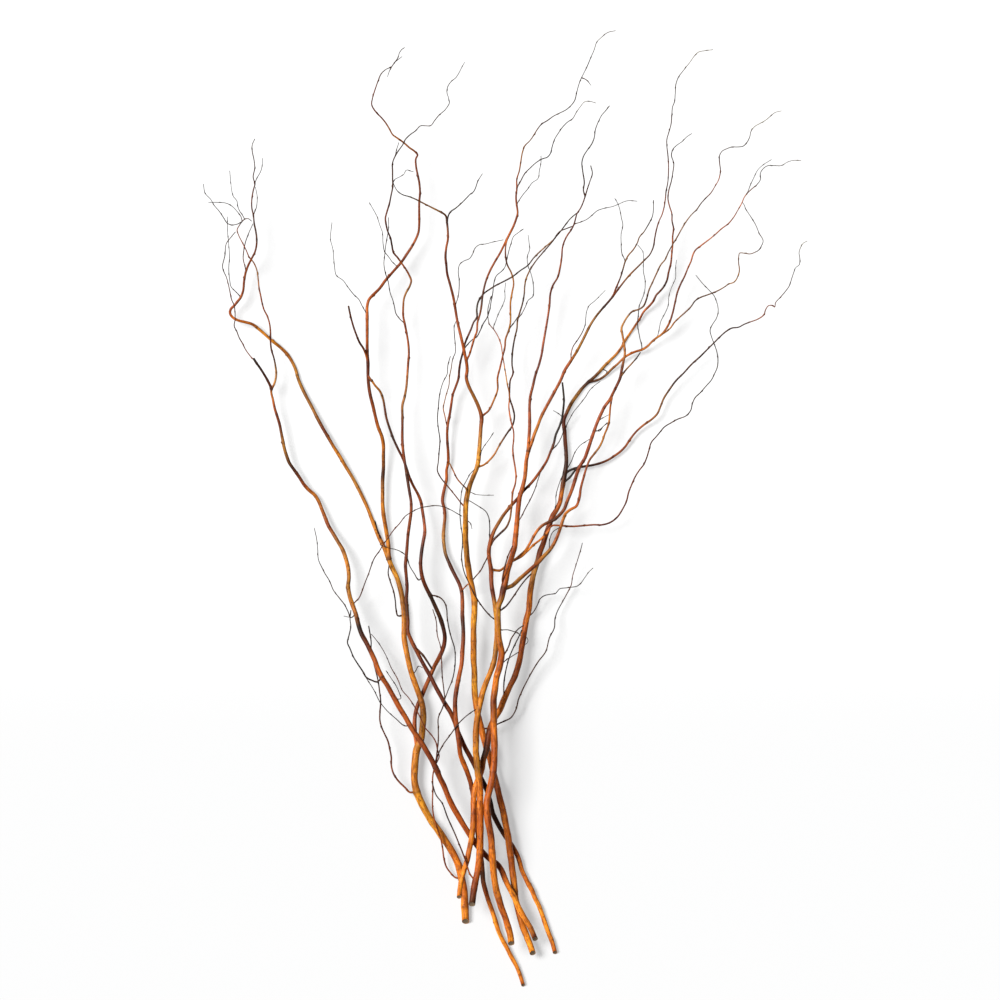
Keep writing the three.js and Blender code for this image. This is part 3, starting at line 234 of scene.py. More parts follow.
grow(
    "twig_e", "main", [1.5, 1.3, 1.1], [0, 14, 6],
    "-318,285 -321,303 -320,312 -318,322 -315,331 -309,345",
    bark="russet umber slate",
)
grow(
    "twig_f", "main", [1.2, 1, 0.8], [0, 12, 24, 40],
    "-325,253 -331,261 -336,266 -338,275 -339,290 -338,303 -339,322 -340,335 -340,353",
)
grow("beside", "main", [1.2, 1, 0.8], [0, 10, 16], "-308,355 -304,366 -303,378 -305,390")
grow("twig_g", "main", [1, 0.8], [0, 12], "-306,395 -302,404 -299,409 -297,415 -296,426")
tell("stem_ochre_forked")

# %% [markdown]
# ### The crossing stem
# This stem's butt is the furthest right and its tip is on the left, so it crosses the whole bunch. It
# has few twigs and one spur that was cut off short. A long thin run is easy to make too smooth, so its
# route keeps every small wave between the nodes.

# %% Grow the crossing stem
grow = partial(add_run, "stem_crossing")
grow(
    "main",
    None,
    [5.8, 6, 6.1, 5.8, 4.7, 4.1, 3.7, 3, 2.5, 2.1, 1.2, 0.8],
    [0, 0, 2, 0, 6, 10, 0, 6, 24, 44, 66, 86],
    "69,-567 65,-553 61,-543 57,-532 53,-520 49,-509 44,-499 40,-489 35,-480 31,-472 27,-463 25,-455 "
    "22,-446 18,-438 14,-431 8,-423 2,-414 -4,-403 -9,-392 -12,-378 -16,-365 -21,-353 -27,-342 -33,-330 "
    "-38,-320 -43,-311 -48,-300 -53,-288 -57,-276 -62,-265 -69,-254 -75,-243 -81,-232 -87,-220 -94,-208 "
    "-100,-197 -106,-185 -111,-175 -115,-164 -115,-152 -116,-138 -117,-125 -116,-110 -117,-95 -118,-82 "
    "-117,-70 -116,-58 -115,-45 -113,-30 -111,-15 -111,-3 -113,10 -115,22 -117,35 -119,48 -121,62 -122,75 "
    "-122,90 -122,105 -122,118 -119,130 -117,142 -116,155 -115,170 -114,185 -115,198 -117,210 -119,220 "
    "-121,230 -121,242 -120,252 -117,260 -113,267 -111,274 -114,282 -118,289 -123,296 -128,303 -133,309 "
    "-135,318 -137,328 -140,335 -142,343 -143,352 -141,360 -138,370 -136,380 -134,390 -134,400 -134,410 "
    "-134,420 -131,428 -126,436 -121,443 -118,449 -112,455 -105,460 -99,466 -92,466 -87,466 -81,473 "
    "-75,480 -70,484 -65,490 -63,494 -64,500 -66,507 -65,514 -61,520 -55,525 -51,531 -48,537 -44,544",
    bark="orange honey honey amber orange umber umber umber chestnut russet chestnut chestnut chestnut "
    "russet umber chestnut chestnut russet chestnut umber russet chestnut tan russet russet russet "
    "olive russet umber chestnut umber umber slate umber slate slate slate",
)
grow(
    "cut_spur", "main", [3, 2.5], [0, 3],
    "-106,-185 -97,-193 -90,-203 -85,-211",
    bark="chestnut umber umber slate",
)
grow(
    "twig_a", "main", [1.3, 1.2, 1], [0, 12, 30],
    "-119,220 -125,226 -130,233 -132,242 -134,250 -137,258 -140,274 -143,283 -145,295 -144,305 -143,315 "
    "-141,327 -139,338 -139,352",
)
grow("twig_b", "main", [1, 0.9], [0, 14], "-134,390 -132,399 -125,403 -120,406 -117,411 -108,409")
grow("twig_c", "main", [1, 0.9], [0, 9], "-131,428 -129,436 -126,445")
tell("stem_crossing")

# %% [markdown]
# ### The slender stem
# The lowest butt belongs to a slender stem that bends twice in its upper half and ends bare. Its butt
# is thinner than its middle, as it is on the real stem, so its thickness is a list instead of one
# taper from butt to tip.

# %% Grow the slender stem
grow = partial(add_run, "stem_slender")
grow(
    "main",
    None,
    [5, 6, 6.2, 6.2, 5.4, 4.7, 4.1, 3.3, 2.5, 1.8, 1.5],
    [0, 2, 0, 6, 10, 4, 0, 12, 30, 46, 60],
    "29,-608 25,-595 20,-583 14,-572 9,-562 3,-551 -2,-540 -5,-530 -9,-517 -14,-503 -18,-490 -21,-478 "
    "-22,-465 -23,-452 -26,-432 -29,-405 -31,-385 -34,-367 -37,-352 -41,-340 -45,-330 -49,-320 -51,-305 "
    "-53,-290 -55,-275 -56,-262 -56,-250 -54,-235 -51,-220 -48,-205 -47,-190 -46,-175 -46,-160 -47,-145 "
    "-47,-130 -48,-115 -51,-105 -56,-95 -60,-87 -64,-78 -68,-68 -70,-57 -71,-45 -70,-32 -69,-20 -70,-10 "
    "-72,-2 -71,8 -69,17 -67,27 -67,37 -65,47 -65,60 -66,75 -66,88 -65,97 -63,107 -61,120 -59,132 -55,143 "
    "-52,152 -51,163 -49,175 -46,186 -44,195 -40,205 -36,214 -33,222 -29,228 -29,238 -27,248 -24,253 "
    "-20,258 -13,263 -5,268 5,273 16,279 25,286 35,293 42,302 50,310 58,317 66,324 74,333 80,341 88,351 "
    "95,357",
    bark="orange honey honey honey orange umber russet russet orange chestnut orange russet russet "
    "chestnut orange russet umber russet chestnut umber tan russet russet orange chestnut russet "
    "rose chestnut umber chestnut slate umber umber slate olive slate slate",
)
grow(
    "twig_left", "main", [1.6, 1.3, 1.1], [0, 8, 20],
    "-66,88 -69,105 -71,115 -69,125 -67,133 -64,143 -63,155 -61,165 -59,177 -56,184 -56,195 -57,207 "
    "-57,218 -54,225",
    bark="russet olive umber slate",
)
grow(
    "twig_hook", "main", [1.8, 1.5, 1.1], [0, 26, 34],
    "-48,-115 -42,-107 -36,-102 -30,-95 -24,-88 -20,-80 -16,-72 -14,-62 -13,-45 -13,-30 -14,-22 -18,-14 "
    "-25,-9 -33,-4 -38,-1",
    bark="orange umber soot slate",
)
grow(
    "twig_right", "main", [1.6, 1.4, 1.2, 1], [0, 14, 34, 52],
    "-46,186 -40,195 -35,200 -29,204 -25,211 -21,220 -16,228 -13,237 -11,248 -9,258 -8,268 -4,280 2,285 "
    "6,290 8,297 11,310 14,320 17,328 22,332 29,337",
    bark="umber soot slate slate",
)
tell("stem_slender")

# %% [markdown]
# ### The golden stem
# The middle of the bunch is a golden stem with three long upright branches. Its upper part turns left
# and the branches carry on upwards, so the outline there is made by branches. Its bark goes from
# orange through gold to a dull red where it thins.

# %% Grow the golden stem
grow = partial(add_run, "stem_golden")
grow(
    "main",
    None,
    [8, 8.5, 8.2, 7.8, 7.6, 7.4, 5.7, 4.4, 3.4, 2.9, 1],
    [0, 0, 4, 6, 12, 8, 14, 22, 36, 50, 72],
    "41,-567 37,-555 33,-545 29,-535 25,-522 22,-510 19,-497 18,-485 17,-475 15,-460 14,-450 12,-437 "
    "10,-420 7,-405 4,-390 0,-375 -3,-362 -6,-350 -9,-338 -12,-325 -16,-312 -20,-300 -23,-288 -26,-275 "
    "-29,-262 -31,-248 -32,-230 -32,-215 -33,-200 -33,-185 -33,-170 -33,-155 -32,-140 -32,-127 -34,-113 "
    "-37,-100 -39,-88 -41,-75 -42,-62 -43,-50 -43,-38 -43,-25 -43,-12 -42,0 -40,10 -37,20 -33,30 -29,40 "
    "-27,50 -26,62 -25,75 -24,90 -23,103 -27,117 -33,130 -39,142 -42,152 -41,163 -42,173 -44,182 -46,192 "
    "-49,205 -53,222 -56,240 -58,252 -62,268 -66,283 -67,293 -68,303 -67,315 -65,325 -65,335 -66,345 "
    "-68,355 -74,359 -82,363 -90,367 -98,371 -106,375 -114,378 -121,380 -127,384 -131,390 -133,395",
    bark="honey honey orange honey orange amber amber orange russet orange amber amber gold ochre ochre "
    "gold ochre ochre olive gold gold olive gold tan russet olive russet orange rose russet chestnut "
    "chestnut russet umber olive slate slate",
)
grow(
    "tall", "main", [2.5, 2.5, 2.6, 3, 1.9, 1.5, 1.2, 1, 0.8], [0, 14, 10, 20, 28, 44, 58, 66, 80],
    "-42,173 -38,182 -35,192 -32,202 -29,210 -28,222 -25,232 -23,243 -22,253 -20,264 -17,275 -12,287 "
    "-6,298 0,308 5,318 9,326 13,334 17,342 20,350 22,358 21,367 20,377 21,388 21,400 24,410 26,422 "
    "28,433 31,441 37,447 42,454 47,462 51,467 59,472 66,477 74,481 82,485 88,490 93,497 95,505 97,513 "
    "100,522 104,530 108,538 113,550 117,559 120,568 127,575 134,580 143,582",
    bark="russet orange umber russet orange russet russet olive umber slate slate slate ash",
)
grow(
    "tall_side", "tall", [1.6, 1.4, 1.2, 0.8], [0, 10, 24, 40],
    "21,388 26,398 31,407 38,414 46,421 53,425 59,427 63,432 65,440 68,449 73,457 78,464 84,470 90,474 "
    "95,482 100,489 106,495 112,495 119,493",
    bark="umber soot slate ash",
)
grow(
    "tall_thin", "tall", [1.1, 1, 0.9], [0, 14, 24],
    "21,367 29,381 35,388 40,395 47,400 49,410 51,420 51,428",
)
grow(
    "middle", "main", [2.6, 2.4, 2.2, 2], [0, 16, 22, 34],
    "-23,103 -14,112 -8,124 -3,138 -3,153 0,165 3,178 6,190 7,201 11,212 13,222 13,235 13,245 15,258 "
    "17,270 14,283 9,293 7,303 7,315 9,325",
    bark="russet ochre russet orange olive ochre ochre umber orange",
)
grow(
    "wander", "main", [2.5, 2.4, 2.3, 2.2, 2, 1.8, 1.6], [0, 10, 22, 14, 26, 36, 30],
    "-29,40 -20,44 -13,50 -7,57 -2,66 4,76 10,85 15,92 18,105 16,115 12,128 12,140 13,150 16,157 15,170 "
    "17,195 19,205 21,213 22,225 25,235 28,245 30,255 31,268 32,274 36,284 44,297 54,309 66,323 75,335 "
    "82,338 90,341",
    bark="ochre ochre umber umber russet umber umber olive umber olive umber umber umber",
)
grow(
    "wander_twig", "wander", [1.2, 1, 0.8], [0, 18, 30],
    "22,225 28,234 32,242 35,249 41,254 42,262 41,272 38,284 35,292 34,303 37,313 36,322 35,330",
)
grow("link", "middle", [1.4, 1.3], [0, 5], "11,212 18,222 22,228")
grow(
    "end_twig", "main", [2, 1.5, 0.9], [0, 10, 22],
    "-66,345 -62,359 -55,364 -48,370 -42,376 -37,381 -33,384 -30,390 -28,396 -22,406",
    bark="soot slate soot slate",
)
grow(
    "long_twig", "main", [1.3, 1.1, 0.9], [0, 18, 30],
    "-56,240 -52,255 -51,265 -51,275 -52,285 -50,294 -45,298 -38,301 -34,307 -31,314 -26,318 -18,319 "
    "-10,321 4,324",
)
grow(
    "left_twig", "main", [1.8, 1.6, 1.3, 1], [0, 12, 26, 34],
    "-43,-12 -50,-2 -57,7 -66,18 -74,28 -78,36 -77,48 -76,60 -75,75 -77,90 -78,102 -77,115 -75,133 "
    "-71,147 -66,157 -65,168 -62,179",
    bark="russet umber soot slate slate",
)
grow(
    "short_left", "main", [2.2, 1.9, 1.6], [0, 6, 16],
    "-42,0 -43,15 -47,19 -53,26 -58,36 -63,46",
    bark="ochre olive orange olive",
)
grow("short_right", "main", [1.1, 1], [0, 22], "-27,50 -20,67 -14,75 -8,84")
grow("whisker", "main", [0.9, 0.8], [0, 12], "-40,10 -30,7 -20,6 -8,6")
grow(
    "low_twig", "main", [2, 1.8, 1.6, 1.3, 1], [0, 6, 10, 0, 14],
    "-23,-288 -12,-285 -4,-281 5,-277 13,-273 20,-262 23,-250 28,-238 33,-228 40,-215 48,-202 57,-190 "
    "62,-172 68,-160 69,-148 73,-137 78,-128 84,-117 89,-107 91,-95 94,-85 98,-72 101,-62 103,-54",
    bark="chestnut umber umber umber soot chestnut soot",
)
tell("stem_golden")

# %% [markdown]
# ### The far left stem
# The brown stem leans out to the far left and ends in a tangle of fine tips. A black stub near the top
# is a branch that died back, and a thin twig still grows from it. One long twig arches right, back
# over the bunch.

# %% Grow the far left stem
grow = partial(add_run, "stem_far_left")
grow(
    "main",
    None,
    [6.8, 7.2, 7.2, 6.6, 6.2, 5.3, 4.6, 4.1, 2.3, 1.8, 1],
    [0, 4, 8, 14, 8, 2, 0, 12, 20, 34, 48],
    "44,-549 39,-537 34,-528 29,-520 24,-511 20,-502 16,-493 11,-484 6,-473 2,-463 -3,-456 -8,-452 "
    "-14,-448 -22,-440 -30,-430 -38,-418 -45,-407 -52,-395 -59,-383 -65,-370 -70,-357 -75,-347 -80,-335 "
    "-85,-325 -92,-313 -98,-303 -105,-293 -112,-282 -118,-271 -125,-260 -131,-249 -135,-242 -141,-231 "
    "-147,-222 -152,-212 -156,-201 -161,-190 -167,-178 -173,-167 -177,-155 -180,-143 -184,-132 -188,-120 "
    "-190,-108 -189,-97 -190,-85 -193,-73 -197,-62 -203,-52 -209,-42 -215,-32 -219,-22 -223,-12 -227,-2 "
    "-232,6 -240,13 -246,20 -251,28 -258,38 -264,47 -267,55 -270,65 -272,75 -274,85 -276,95 -279,105 "
    "-282,115 -284,125 -286,138 -283,144 -281,150 -280,158 -281,168 -283,178 -286,188 -287,198 -287,210 "
    "-288,220 -291,230 -295,238 -297,245 -299,255 -301,265 -302,275 -304,288 -308,297 -313,303 -317,312 "
    "-322,322 -326,330 -328,337 -325,343 -322,347 -319,350 -314,351 -310,348",
    bark="chestnut honey honey orange russet russet orange orange russet chestnut russet russet orange "
    "russet orange chestnut soot ochre olive ochre olive russet ochre russet umber olive chestnut "
    "orange tan umber chestnut russet russet olive russet russet slate",
)
grow(
    "black_stub", "main", [3.3, 3.1, 3], [0, 4, 10],
    "-286,138 -290,148 -295,157 -300,165 -305,172 -308,177",
    bark="chestnut umber soot",
)
grow(
    "stub_twig", "black_stub", [1.6, 1.5, 1.3, 1.2], [0, 8, 24, 30],
    "-305,172 -313,181 -318,188 -322,196 -326,203 -329,211 -332,217 -331,225 -331,235 -332,243 -335,250 "
    "-337,260 -341,277 -346,290 -343,305 -341,320 -335,328 -330,334",
    bark="rose umber chestnut slate umber",
)
grow(
    "tip_a", "main", [1.3, 1.1, 0.8], [0, 12, 28],
    "-322,347 -328,344 -334,343 -340,345 -344,351 -350,360 -356,367 -360,374 -367,382 -369,393",
)
grow(
    "tip_b", "main", [1.1, 1, 0.9], [0, 4, 12],
    "-322,347 -323,353 -328,360 -335,367 -341,370 -350,371 -363,371",
)
grow(
    "tip_c", "main", [1, 0.9, 0.8], [0, 16, 36],
    "-319,350 -321,355 -325,361 -327,367 -328,373 -332,378 -334,385 -335,395 -336,409",
)
grow(
    "side_a", "main", [2.2, 1.9, 1.6, 1.4], [0, 16, 30, 24],
    "-147,-222 -153,-227 -160,-225 -167,-221 -171,-214 -177,-205 -183,-195 -187,-185 -190,-178 -188,-168 "
    "-186,-158 -187,-148 -186,-138",
    bark="umber soot soot slate",
)
grow(
    "side_b", "main", [1.5, 1.3, 0.9], [0, 26, 50],
    "-180,-143 -186,-147 -190,-139 -194,-131 -200,-123 -208,-112 -213,-100 -218,-92 -222,-84 -226,-75 "
    "-227,-62 -228,-50 -231,-35",
    bark="soot umber soot slate",
)
grow("side_c", "side_b", [1, 0.9], [0, 3], "-186,-147 -195,-145")
grow(
    "arc", "main", [1.6, 1.5, 1.4, 1.3, 1.2], [0, 26, 44, 38, 26],
    "-184,-132 -176,-122 -172,-113 -168,-102 -164,-92 -161,-83 -157,-73 -150,-63 -146,-56 -140,-48 "
    "-133,-38 -125,-29 -118,-20 -110,-15 -100,-10 -90,-8 -82,-7 -72,-8 -62,-12 -55,-16 -48,-20",
    bark="chestnut umber chestnut umber slate",
)
grow(
    "loop", "main", [1.8, 1.7, 1.6, 1.4, 1.2], [0, 12, 4, 10, 2],
    "-80,-335 -79,-318 -77,-300 -77,-285 -77,-272 -72,-260 -69,-250 -70,-238 -72,-220 -73,-200 -74,-184 "
    "-78,-170 -80,-150 -84,-137",
    bark="chestnut umber umber chestnut umber",
)
grow(
    "slant", "main", [1.8, 1.6, 1.3], [0, 8, 2],
    "-80,-335 -78,-320 -72,-307 -62,-293 -50,-277 -40,-268 -28,-260",
    bark="soot umber umber soot",
)
grow(
    "under_a", "main", [1.4, 1.2, 1], [0, -4, 8],
    "-112,-282 -118,-282 -130,-273 -143,-261 -150,-252 -157,-238 -165,-225 -171,-216",
)
grow("under_b", "main", [1.1, 1], [0, 12], "-131,-249 -124,-248 -126,-240 -130,-231 -136,-222 -142,-213")
tell("stem_far_left")

# %% [markdown]
# ### The right stem
# The dark stem leans right and carries three long side branches with hooked ends. It goes nearly black
# at one fork, so its list of colours has soot there and a paler brown again above it. Two ambers about
# a quarter of the way up its main run are painted light: they are brighter where it lies in the shade
# of the stems over it.

# %% Grow the right stem
grow = partial(add_run, "stem_right")
grow(
    "main",
    None,
    [6, 7.4, 7.8, 7.4, 7.5, 6.8, 5.2, 4.4, 3, 2.4, 1.6, 0.9],
    [0, 4, 8, 8, 6, 10, 4, 0, 0, 14, 30, 52],
    "-51,-496 -50,-485 -47,-470 -44,-460 -41,-450 -39,-440 -36,-425 -34,-410 -33,-395 -33,-375 -31,-360 "
    "-27,-349 -23,-337 -21,-325 -17,-312 -15,-300 -13,-288 -9,-277 -5,-270 0,-262 4,-252 8,-243 13,-232 "
    "18,-222 22,-210 25,-198 27,-186 29,-174 31,-162 33,-150 36,-138 37,-126 38,-114 40,-103 42,-93 "
    "45,-83 48,-74 50,-65 54,-55 57,-45 60,-36 63,-28 66,-20 71,-12 75,-3 77,8 79,20 81,32 83,45 83,58 "
    "82,70 81,85 80,100 84,110 90,122 97,132 104,141 110,147 117,153 124,160 131,168 138,175 146,183 "
    "152,191 157,200 163,209 169,218 175,227 181,237 187,243 192,249 196,257 200,261 205,267 209,275 "
    "211,285 214,297 215,308 216,319 216,330 217,339 215,350 215,357 212,367 210,376 211,387 214,398 "
    "216,410 217,420 214,431 216,438 221,443 227,447 233,453 239,457",
    # the two ambers after russet are painted light, brighter where the stem lies in the shade of others
    bark="honey honey orange honey orange amber amber umber russet amber amber russet orange orange amber "
    "amber tan chestnut russet russet amber umber umber chestnut chestnut olive umber olive ochre "
    "ochre orange russet umber russet orange chestnut russet umber umber slate slate",
)
grow(
    "outer", "main", [3, 3, 2.5, 2, 1.5, 1.1, 0.8], [0, 6, 20, 26, 40, 46, 60],
    "110,147 118,149 126,152 133,157 140,164 148,171 155,178 163,183 170,186 177,188 184,192 190,198 "
    "196,203 202,207 207,213 212,222 216,234 219,247 222,260 226,270 231,280 235,290 239,299 241,306 "
    "244,312 250,317 258,323 267,330 277,339 285,345 291,352 297,362 302,371 305,378 308,382 314,388 "
    "321,394 325,400 325,408 329,414 334,417 342,417 351,417 358,421 364,423 375,423",
    bark="umber olive orange ochre russet chestnut russet orange russet orange slate slate ash",
)
grow(
    "outer_fine", "outer", [1, 0.9, 0.8], [0, 10, 18],
    "308,382 312,392 317,403 321,411 327,417 333,421 338,424",
)
grow(
    "hook", "outer", [2, 1.9, 1.7, 1.4, 1.1, 0.9], [0, 10, 6, 24, 40, 26],
    "202,207 207,210 213,215 218,222 224,228 232,235 239,242 244,249 250,253 258,256 266,259 273,262 "
    "280,266 286,270 292,272 297,279 299,287 298,296 298,304 299,308 305,308 312,307 318,309 323,312 "
    "326,317 328,322 323,333 319,343 312,355 306,364",
    bark="ochre umber olive umber slate",
)
grow(
    "long_side", "main", [3.2, 2.9, 2.6, 2.2, 1.7, 1.1, 0.8], [0, -2, 4, 12, 18, 34, 48],
    "81,32 95,40 105,42 115,43.5 125,46 135,50 143,55 150,60 157,67 163,76 170,85 180,94 190,101 197,108 "
    "201,117 205,127 212,138 220,149 230,159 240,170 250,179 260,189 268,197 276,205 283,211 290,215 "
    "298,216 306,220 314,223 322,226 330,232 332,238 336,243 340,243 343,241 344,246 350,253 356,260 "
    "361,267 364,276 367,285 369,290 373,293 374,302 373,308 375,315 378,320 383,323",
    bark="soot umber russet russet olive umber umber umber umber russet umber slate ash",
)
grow("black_fork", "main", [3, 2.8, 2.5], [0, 1, 3], "79,20 88,29 94,37 99,43", bark="soot")
grow("twig_a", "main", [1.2, 1.1, 1], [0, 12, 14], "81,32 90,50 94,60 100,68 107,73 112,76")
grow(
    "twig_b", "main", [1.2, 1.1, 1], [0, 14, 18],
    "81,85 88,103 92,110 100,120 107,129 112,137 118,143 125,148",
)
grow("twig_c", "main", [1, 0.9], [0, 9], "80,100 77,105 67,112")
grow(
    "twig_d", "outer", [1, 0.9, 0.8], [0, 26, 40],
    "196,203 199,213 201,223 206,233 210,243 211,255 214,265 219,277 219,290 220,299",
)
grow(
    "twig_e", "outer", [1.3, 1.2, 1, 0.8], [0, 20, 34, 44],
    "177,188 175,203 173,213 172,222 173,232 174,242 177,250 180,258 181,275 179,285 179,298 178,310 "
    "172,318",
)
grow(
    "twig_f", "main", [1.8, 1.7, 1.5], [0, 8, 4],
    "4,-252 5,-228 8,-210 12,-196 18,-182 24,-170 27,-163",
    bark="russet umber soot slate soot",
)
grow(
    "twig_g", "main", [1.5, 1.4, 1.2, 0.9], [0, 6, 12, 30],
    "33,-150 42,-140 47,-131 50,-124 55,-120 63,-118 69,-117 75,-111 82,-110 90,-109 96,-108 100,-105 "
    "106,-97 111,-90 116,-85",
    bark="umber soot slate slate",
)
grow("curl", "main", [1, 0.9], [0, 4], "29,-174 33,-172 35,-176 33,-180 31,-181")
grow("twig_h", "main", [1.1, 1], [0, 8], "66,-20 70,-5 70,5 73,17 77,28 80,35")
tell("stem_right")

# %% [markdown]
# ### The olive stem
# The olive stem's main run ends in a dark stump, and two strong branches take over: a red leader to
# the upper right and a thin sweep beside it. Both leave from one cross piece, so that is a run too,
# and they name it as the run that they grow on.

# %% Grow the olive stem
grow = partial(add_run, "stem_olive")
grow(
    "main",
    None,
    [8, 8.6, 8.6, 8.2, 7.4, 6.5, 5.8, 5.2, 4.2, 3.4, 2.9, 2.4],
    [0, 3, 6, 10, 12, 8, 12, 4, 10, 16, 14, 20],
    "-35,-505 -33,-490 -31,-478 -28,-464 -26,-450 -25,-435 -24.5,-420 -24.5,-400 -25,-380 -25,-362 "
    "-26,-350 -27.5,-340 -28.5,-328 -30,-315 -30,-300 -30,-288 -29,-277 -27,-264 -24,-250 -21,-238 "
    "-17,-227 -12,-215 -8,-204 -6,-194 -5,-182 -4,-168 -4,-152 -6,-135 -8,-121 -10,-110 -11,-98 -11,-88 "
    "-13,-76 -14,-64 -12,-52 -8,-40 -2,-29 5,-18 13,-8 22,2 30,12 38,20 46,30 53,40 59,50 63,60 67,70 "
    "70,82 74,91 77,100 79,112 80,125 79,138 78,147",
    bark="umber russet orange amber orange amber amber olive ochre ochre ochre ochre ochre olive ochre "
    "gold chestnut russet russet russet olive russet chestnut russet russet soot soot soot slate",
)
grow(
    "cross", "main", [3.2, 3, 2.9, 2.8, 2.6], [0, 4, 8, 4, 8],
    "-11,-88 0,-88 8,-82 18,-75 26,-71 34,-64 42,-56 50,-50 56,-44 62,-37",
    bark="ochre amber",
)
grow(
    "sweep", "cross", [2.5, 2.4, 2.1, 1.8, 1.5, 1.3, 1.1, 0.9], [0, 4, 10, 24, 36, 30, 44, 52],
    "56,-44 66,-32 75,-32 90,-33 105,-32 118,-31 128,-31 138,-28 147,-21 153,-12 158,-2 161,10 165,20 "
    "169,29 174,37 180,45 183,52 186,62 189,72 195,79 200,85 205,91 213,96 222,101 232,105 238,112 "
    "240,120 243,127 250,134 257,142 264,150 268,158 271,165 272,177 270,187 267,195 264,203 262,212 "
    "265,219 270,227 272,236 270,247 267,254 260,262 254,268 248,275 244,280",
    bark="orange chestnut chestnut umber slate slate slate",
)
grow(
    "red_leader",
    "cross",
    [2.8, 4.1, 4.5, 4.2, 3.5, 2.3, 1.8, 1.5, 1.3, 1.1, 0.8],
    [0, 8, 4, 14, 20, 12, 26, 38, 34, 48, 66],
    "18,-75 24,-70 31,-64 37,-55 42,-46 47,-38 53,-32 60,-28 67,-25 73,-20 80,-12 84,-2 89,10 93,22 97,35 "
    "101,44 106,52 110,63 114,75 118,87 122,98 126,107 131,117 137,125 141,133 146,143 150,152 152,162 "
    "154,172 156,183 155,195 153,207 152,215 155,222 160,230 166,236 173,238 179,242 183,251 186,262 "
    "191,273 196,284 201,294 206,300 210,309 215,318 221,328 226,337 232,347 239,356 246,363 250,369 "
    "256,376 263,383 268,391 273,400 275,412 274,420 274,430 277,435 283,438 289,440 296,440 303,441 "
    "308,446 311,452 313,460 317,465 324,469 331,473 337,478 342,482 350,484",
    bark="ochre amber umber russet russet rose rose russet chestnut ochre olive umber olive umber olive "
    "umber russet umber slate ash ash",
)
grow(
    "leader_side", "red_leader", [2.4, 2.2, 1.9, 1.6], [0, 5, 8, 6],
    "150,152 156,161 165,171 171,178 175,184",
    bark="olive umber olive umber slate",
)
grow("leader_bud", "red_leader", [1.2, 1], [0, 7], "118,87 124,86 129,92 136,97")
grow(
    "dark_side", "main", [3, 2.5, 2.2, 2, 1.8, 1.5, 1.2, 0.9], [0, 10, 20, 28, 22, 30, 40, 54],
    "-14,-64 -8,-50 0,-42 8,-34 12,-25 14,-12 15,0 16,10 19,20 20,30 19,40 17,52 16,65 17,75 17,85 14,97 "
    "12,108 11,118 12,128 9,145 7,158 5,170 3,183 1,195 -3,205 -8,213 -13,219 -15,228 -15,238 -13,247 "
    "-11,254",
    bark="chestnut umber olive russet orange russet orange orange tan orange orange slate slate",
)
grow("dark_twig", "dark_side", [1, 0.9, 0.8], [0, 16, 34], "-8,213 -5,224 -1,234 3,242 6,250 6,260 7,270")
grow(
    "base_twig", "main", [2.2, 2, 1.8, 1.6], [0, 6, 10, 4],
    "-31,-478 -38,-466 -43,-450 -48,-437 -57,-415 -66,-395 -72,-379 -80,-368 -85,-352",
    bark="orange chestnut umber soot umber",
)
grow("end_twig", "main", [1.4, 1.2], [0, 6], "63,60 72,70 78,82 80,90")
grow(
    "thin_side", "main", [1.8, 1.6, 1.4, 1.2, 1], [0, 16, 26, 30, 28],
    "-4,-152 -12,-145 -20,-136 -27,-126 -33,-116 -39,-103 -44,-92 -47,-80 -48,-70 -47,-58 -47,-45 -49,-30 "
    "-50,-15 -49,0 -47,14 -42,24 -36,34 -32,38",
    bark="soot umber slate soot slate",
)
tell("stem_olive")

# %% [markdown]
# ### The top stem
# The last stem lies over the others at the neck. Its two tall leaders reach the highest and its right
# arm crosses the olive stem's branches. It comes last in the list because the stems are laid down in
# this order.

# %% Grow the top stem
grow = partial(add_run, "stem_top")
grow(
    "main",
    None,
    [8, 8.6, 8.8, 8.4, 8, 7.4, 6.2, 4.3, 3.1, 2.5, 2, 1.3],
    [0, 3, 5, 5, 8, 10, 6, 14, 20, 16, 32, 50],
    "14,-554 13,-545 9,-530 6,-520 2,-510 -1,-500 -4,-490 -6,-480 -8,-465 -9,-450 -10,-438 -11,-422 "
    "-13,-410 -15,-400 -16,-390 -16.5,-380 -15,-370 -12.5,-360 -10,-350 -8.5,-340 -7.5,-330 -7,-315 "
    "-7,-300 -7.5,-288 -8,-275 -8,-260 -8,-248 -6.5,-238 -5.5,-230 -4,-220 -1,-210 1,-200 2,-190 0,-180 "
    "-2,-168 -2.5,-155 -3,-142 -2,-132 2,-122 4,-112 7,-100 9,-90 12,-80 15,-70 18,-60 19,-50 20,-40 "
    "21,-30 22,-18 23,-8 25,5 28,15 31,28 32,38 33,50 35,60 36,75 37,90 37,105 37,120 38,130 41,142 "
    "44,155 49,170 52,182 54,195 57,212 60,230 62,245 63,258 66,268 72,278 75,290 77,303 78,315 80,322 "
    "84,330 89,337 92,343 94,350 96,357 100,363 104,372 106,378 109,388 112,397 115,407 113,416",
    bark="honey orange russet honey amber russet orange orange orange orange amber chestnut amber orange "
    "ochre gold chestnut orange orange orange orange russet amber orange rose russet chestnut rose "
    "rose rose chestnut russet rose chestnut chestnut umber slate",
)
grow(
    "tip", "main", [1.8, 1.6, 1.4, 1.2, 1], [0, 8, 18, 22, 34],
    "106,378 104,385 105,395 103,410 102,420 104,428 109,436 114,443 117,450 119,462 123,472 126,478 "
    "132,485 136,490",
    bark="umber soot slate slate",
)
grow(
    "fine_right", "main", [1.3, 1.1, 0.9, 0.8], [0, 12, 24, 40],
    "92,343 100,346 109,350 115,355 121,360 130,363 140,365 148,368 155,371 160,372 170,371",
)
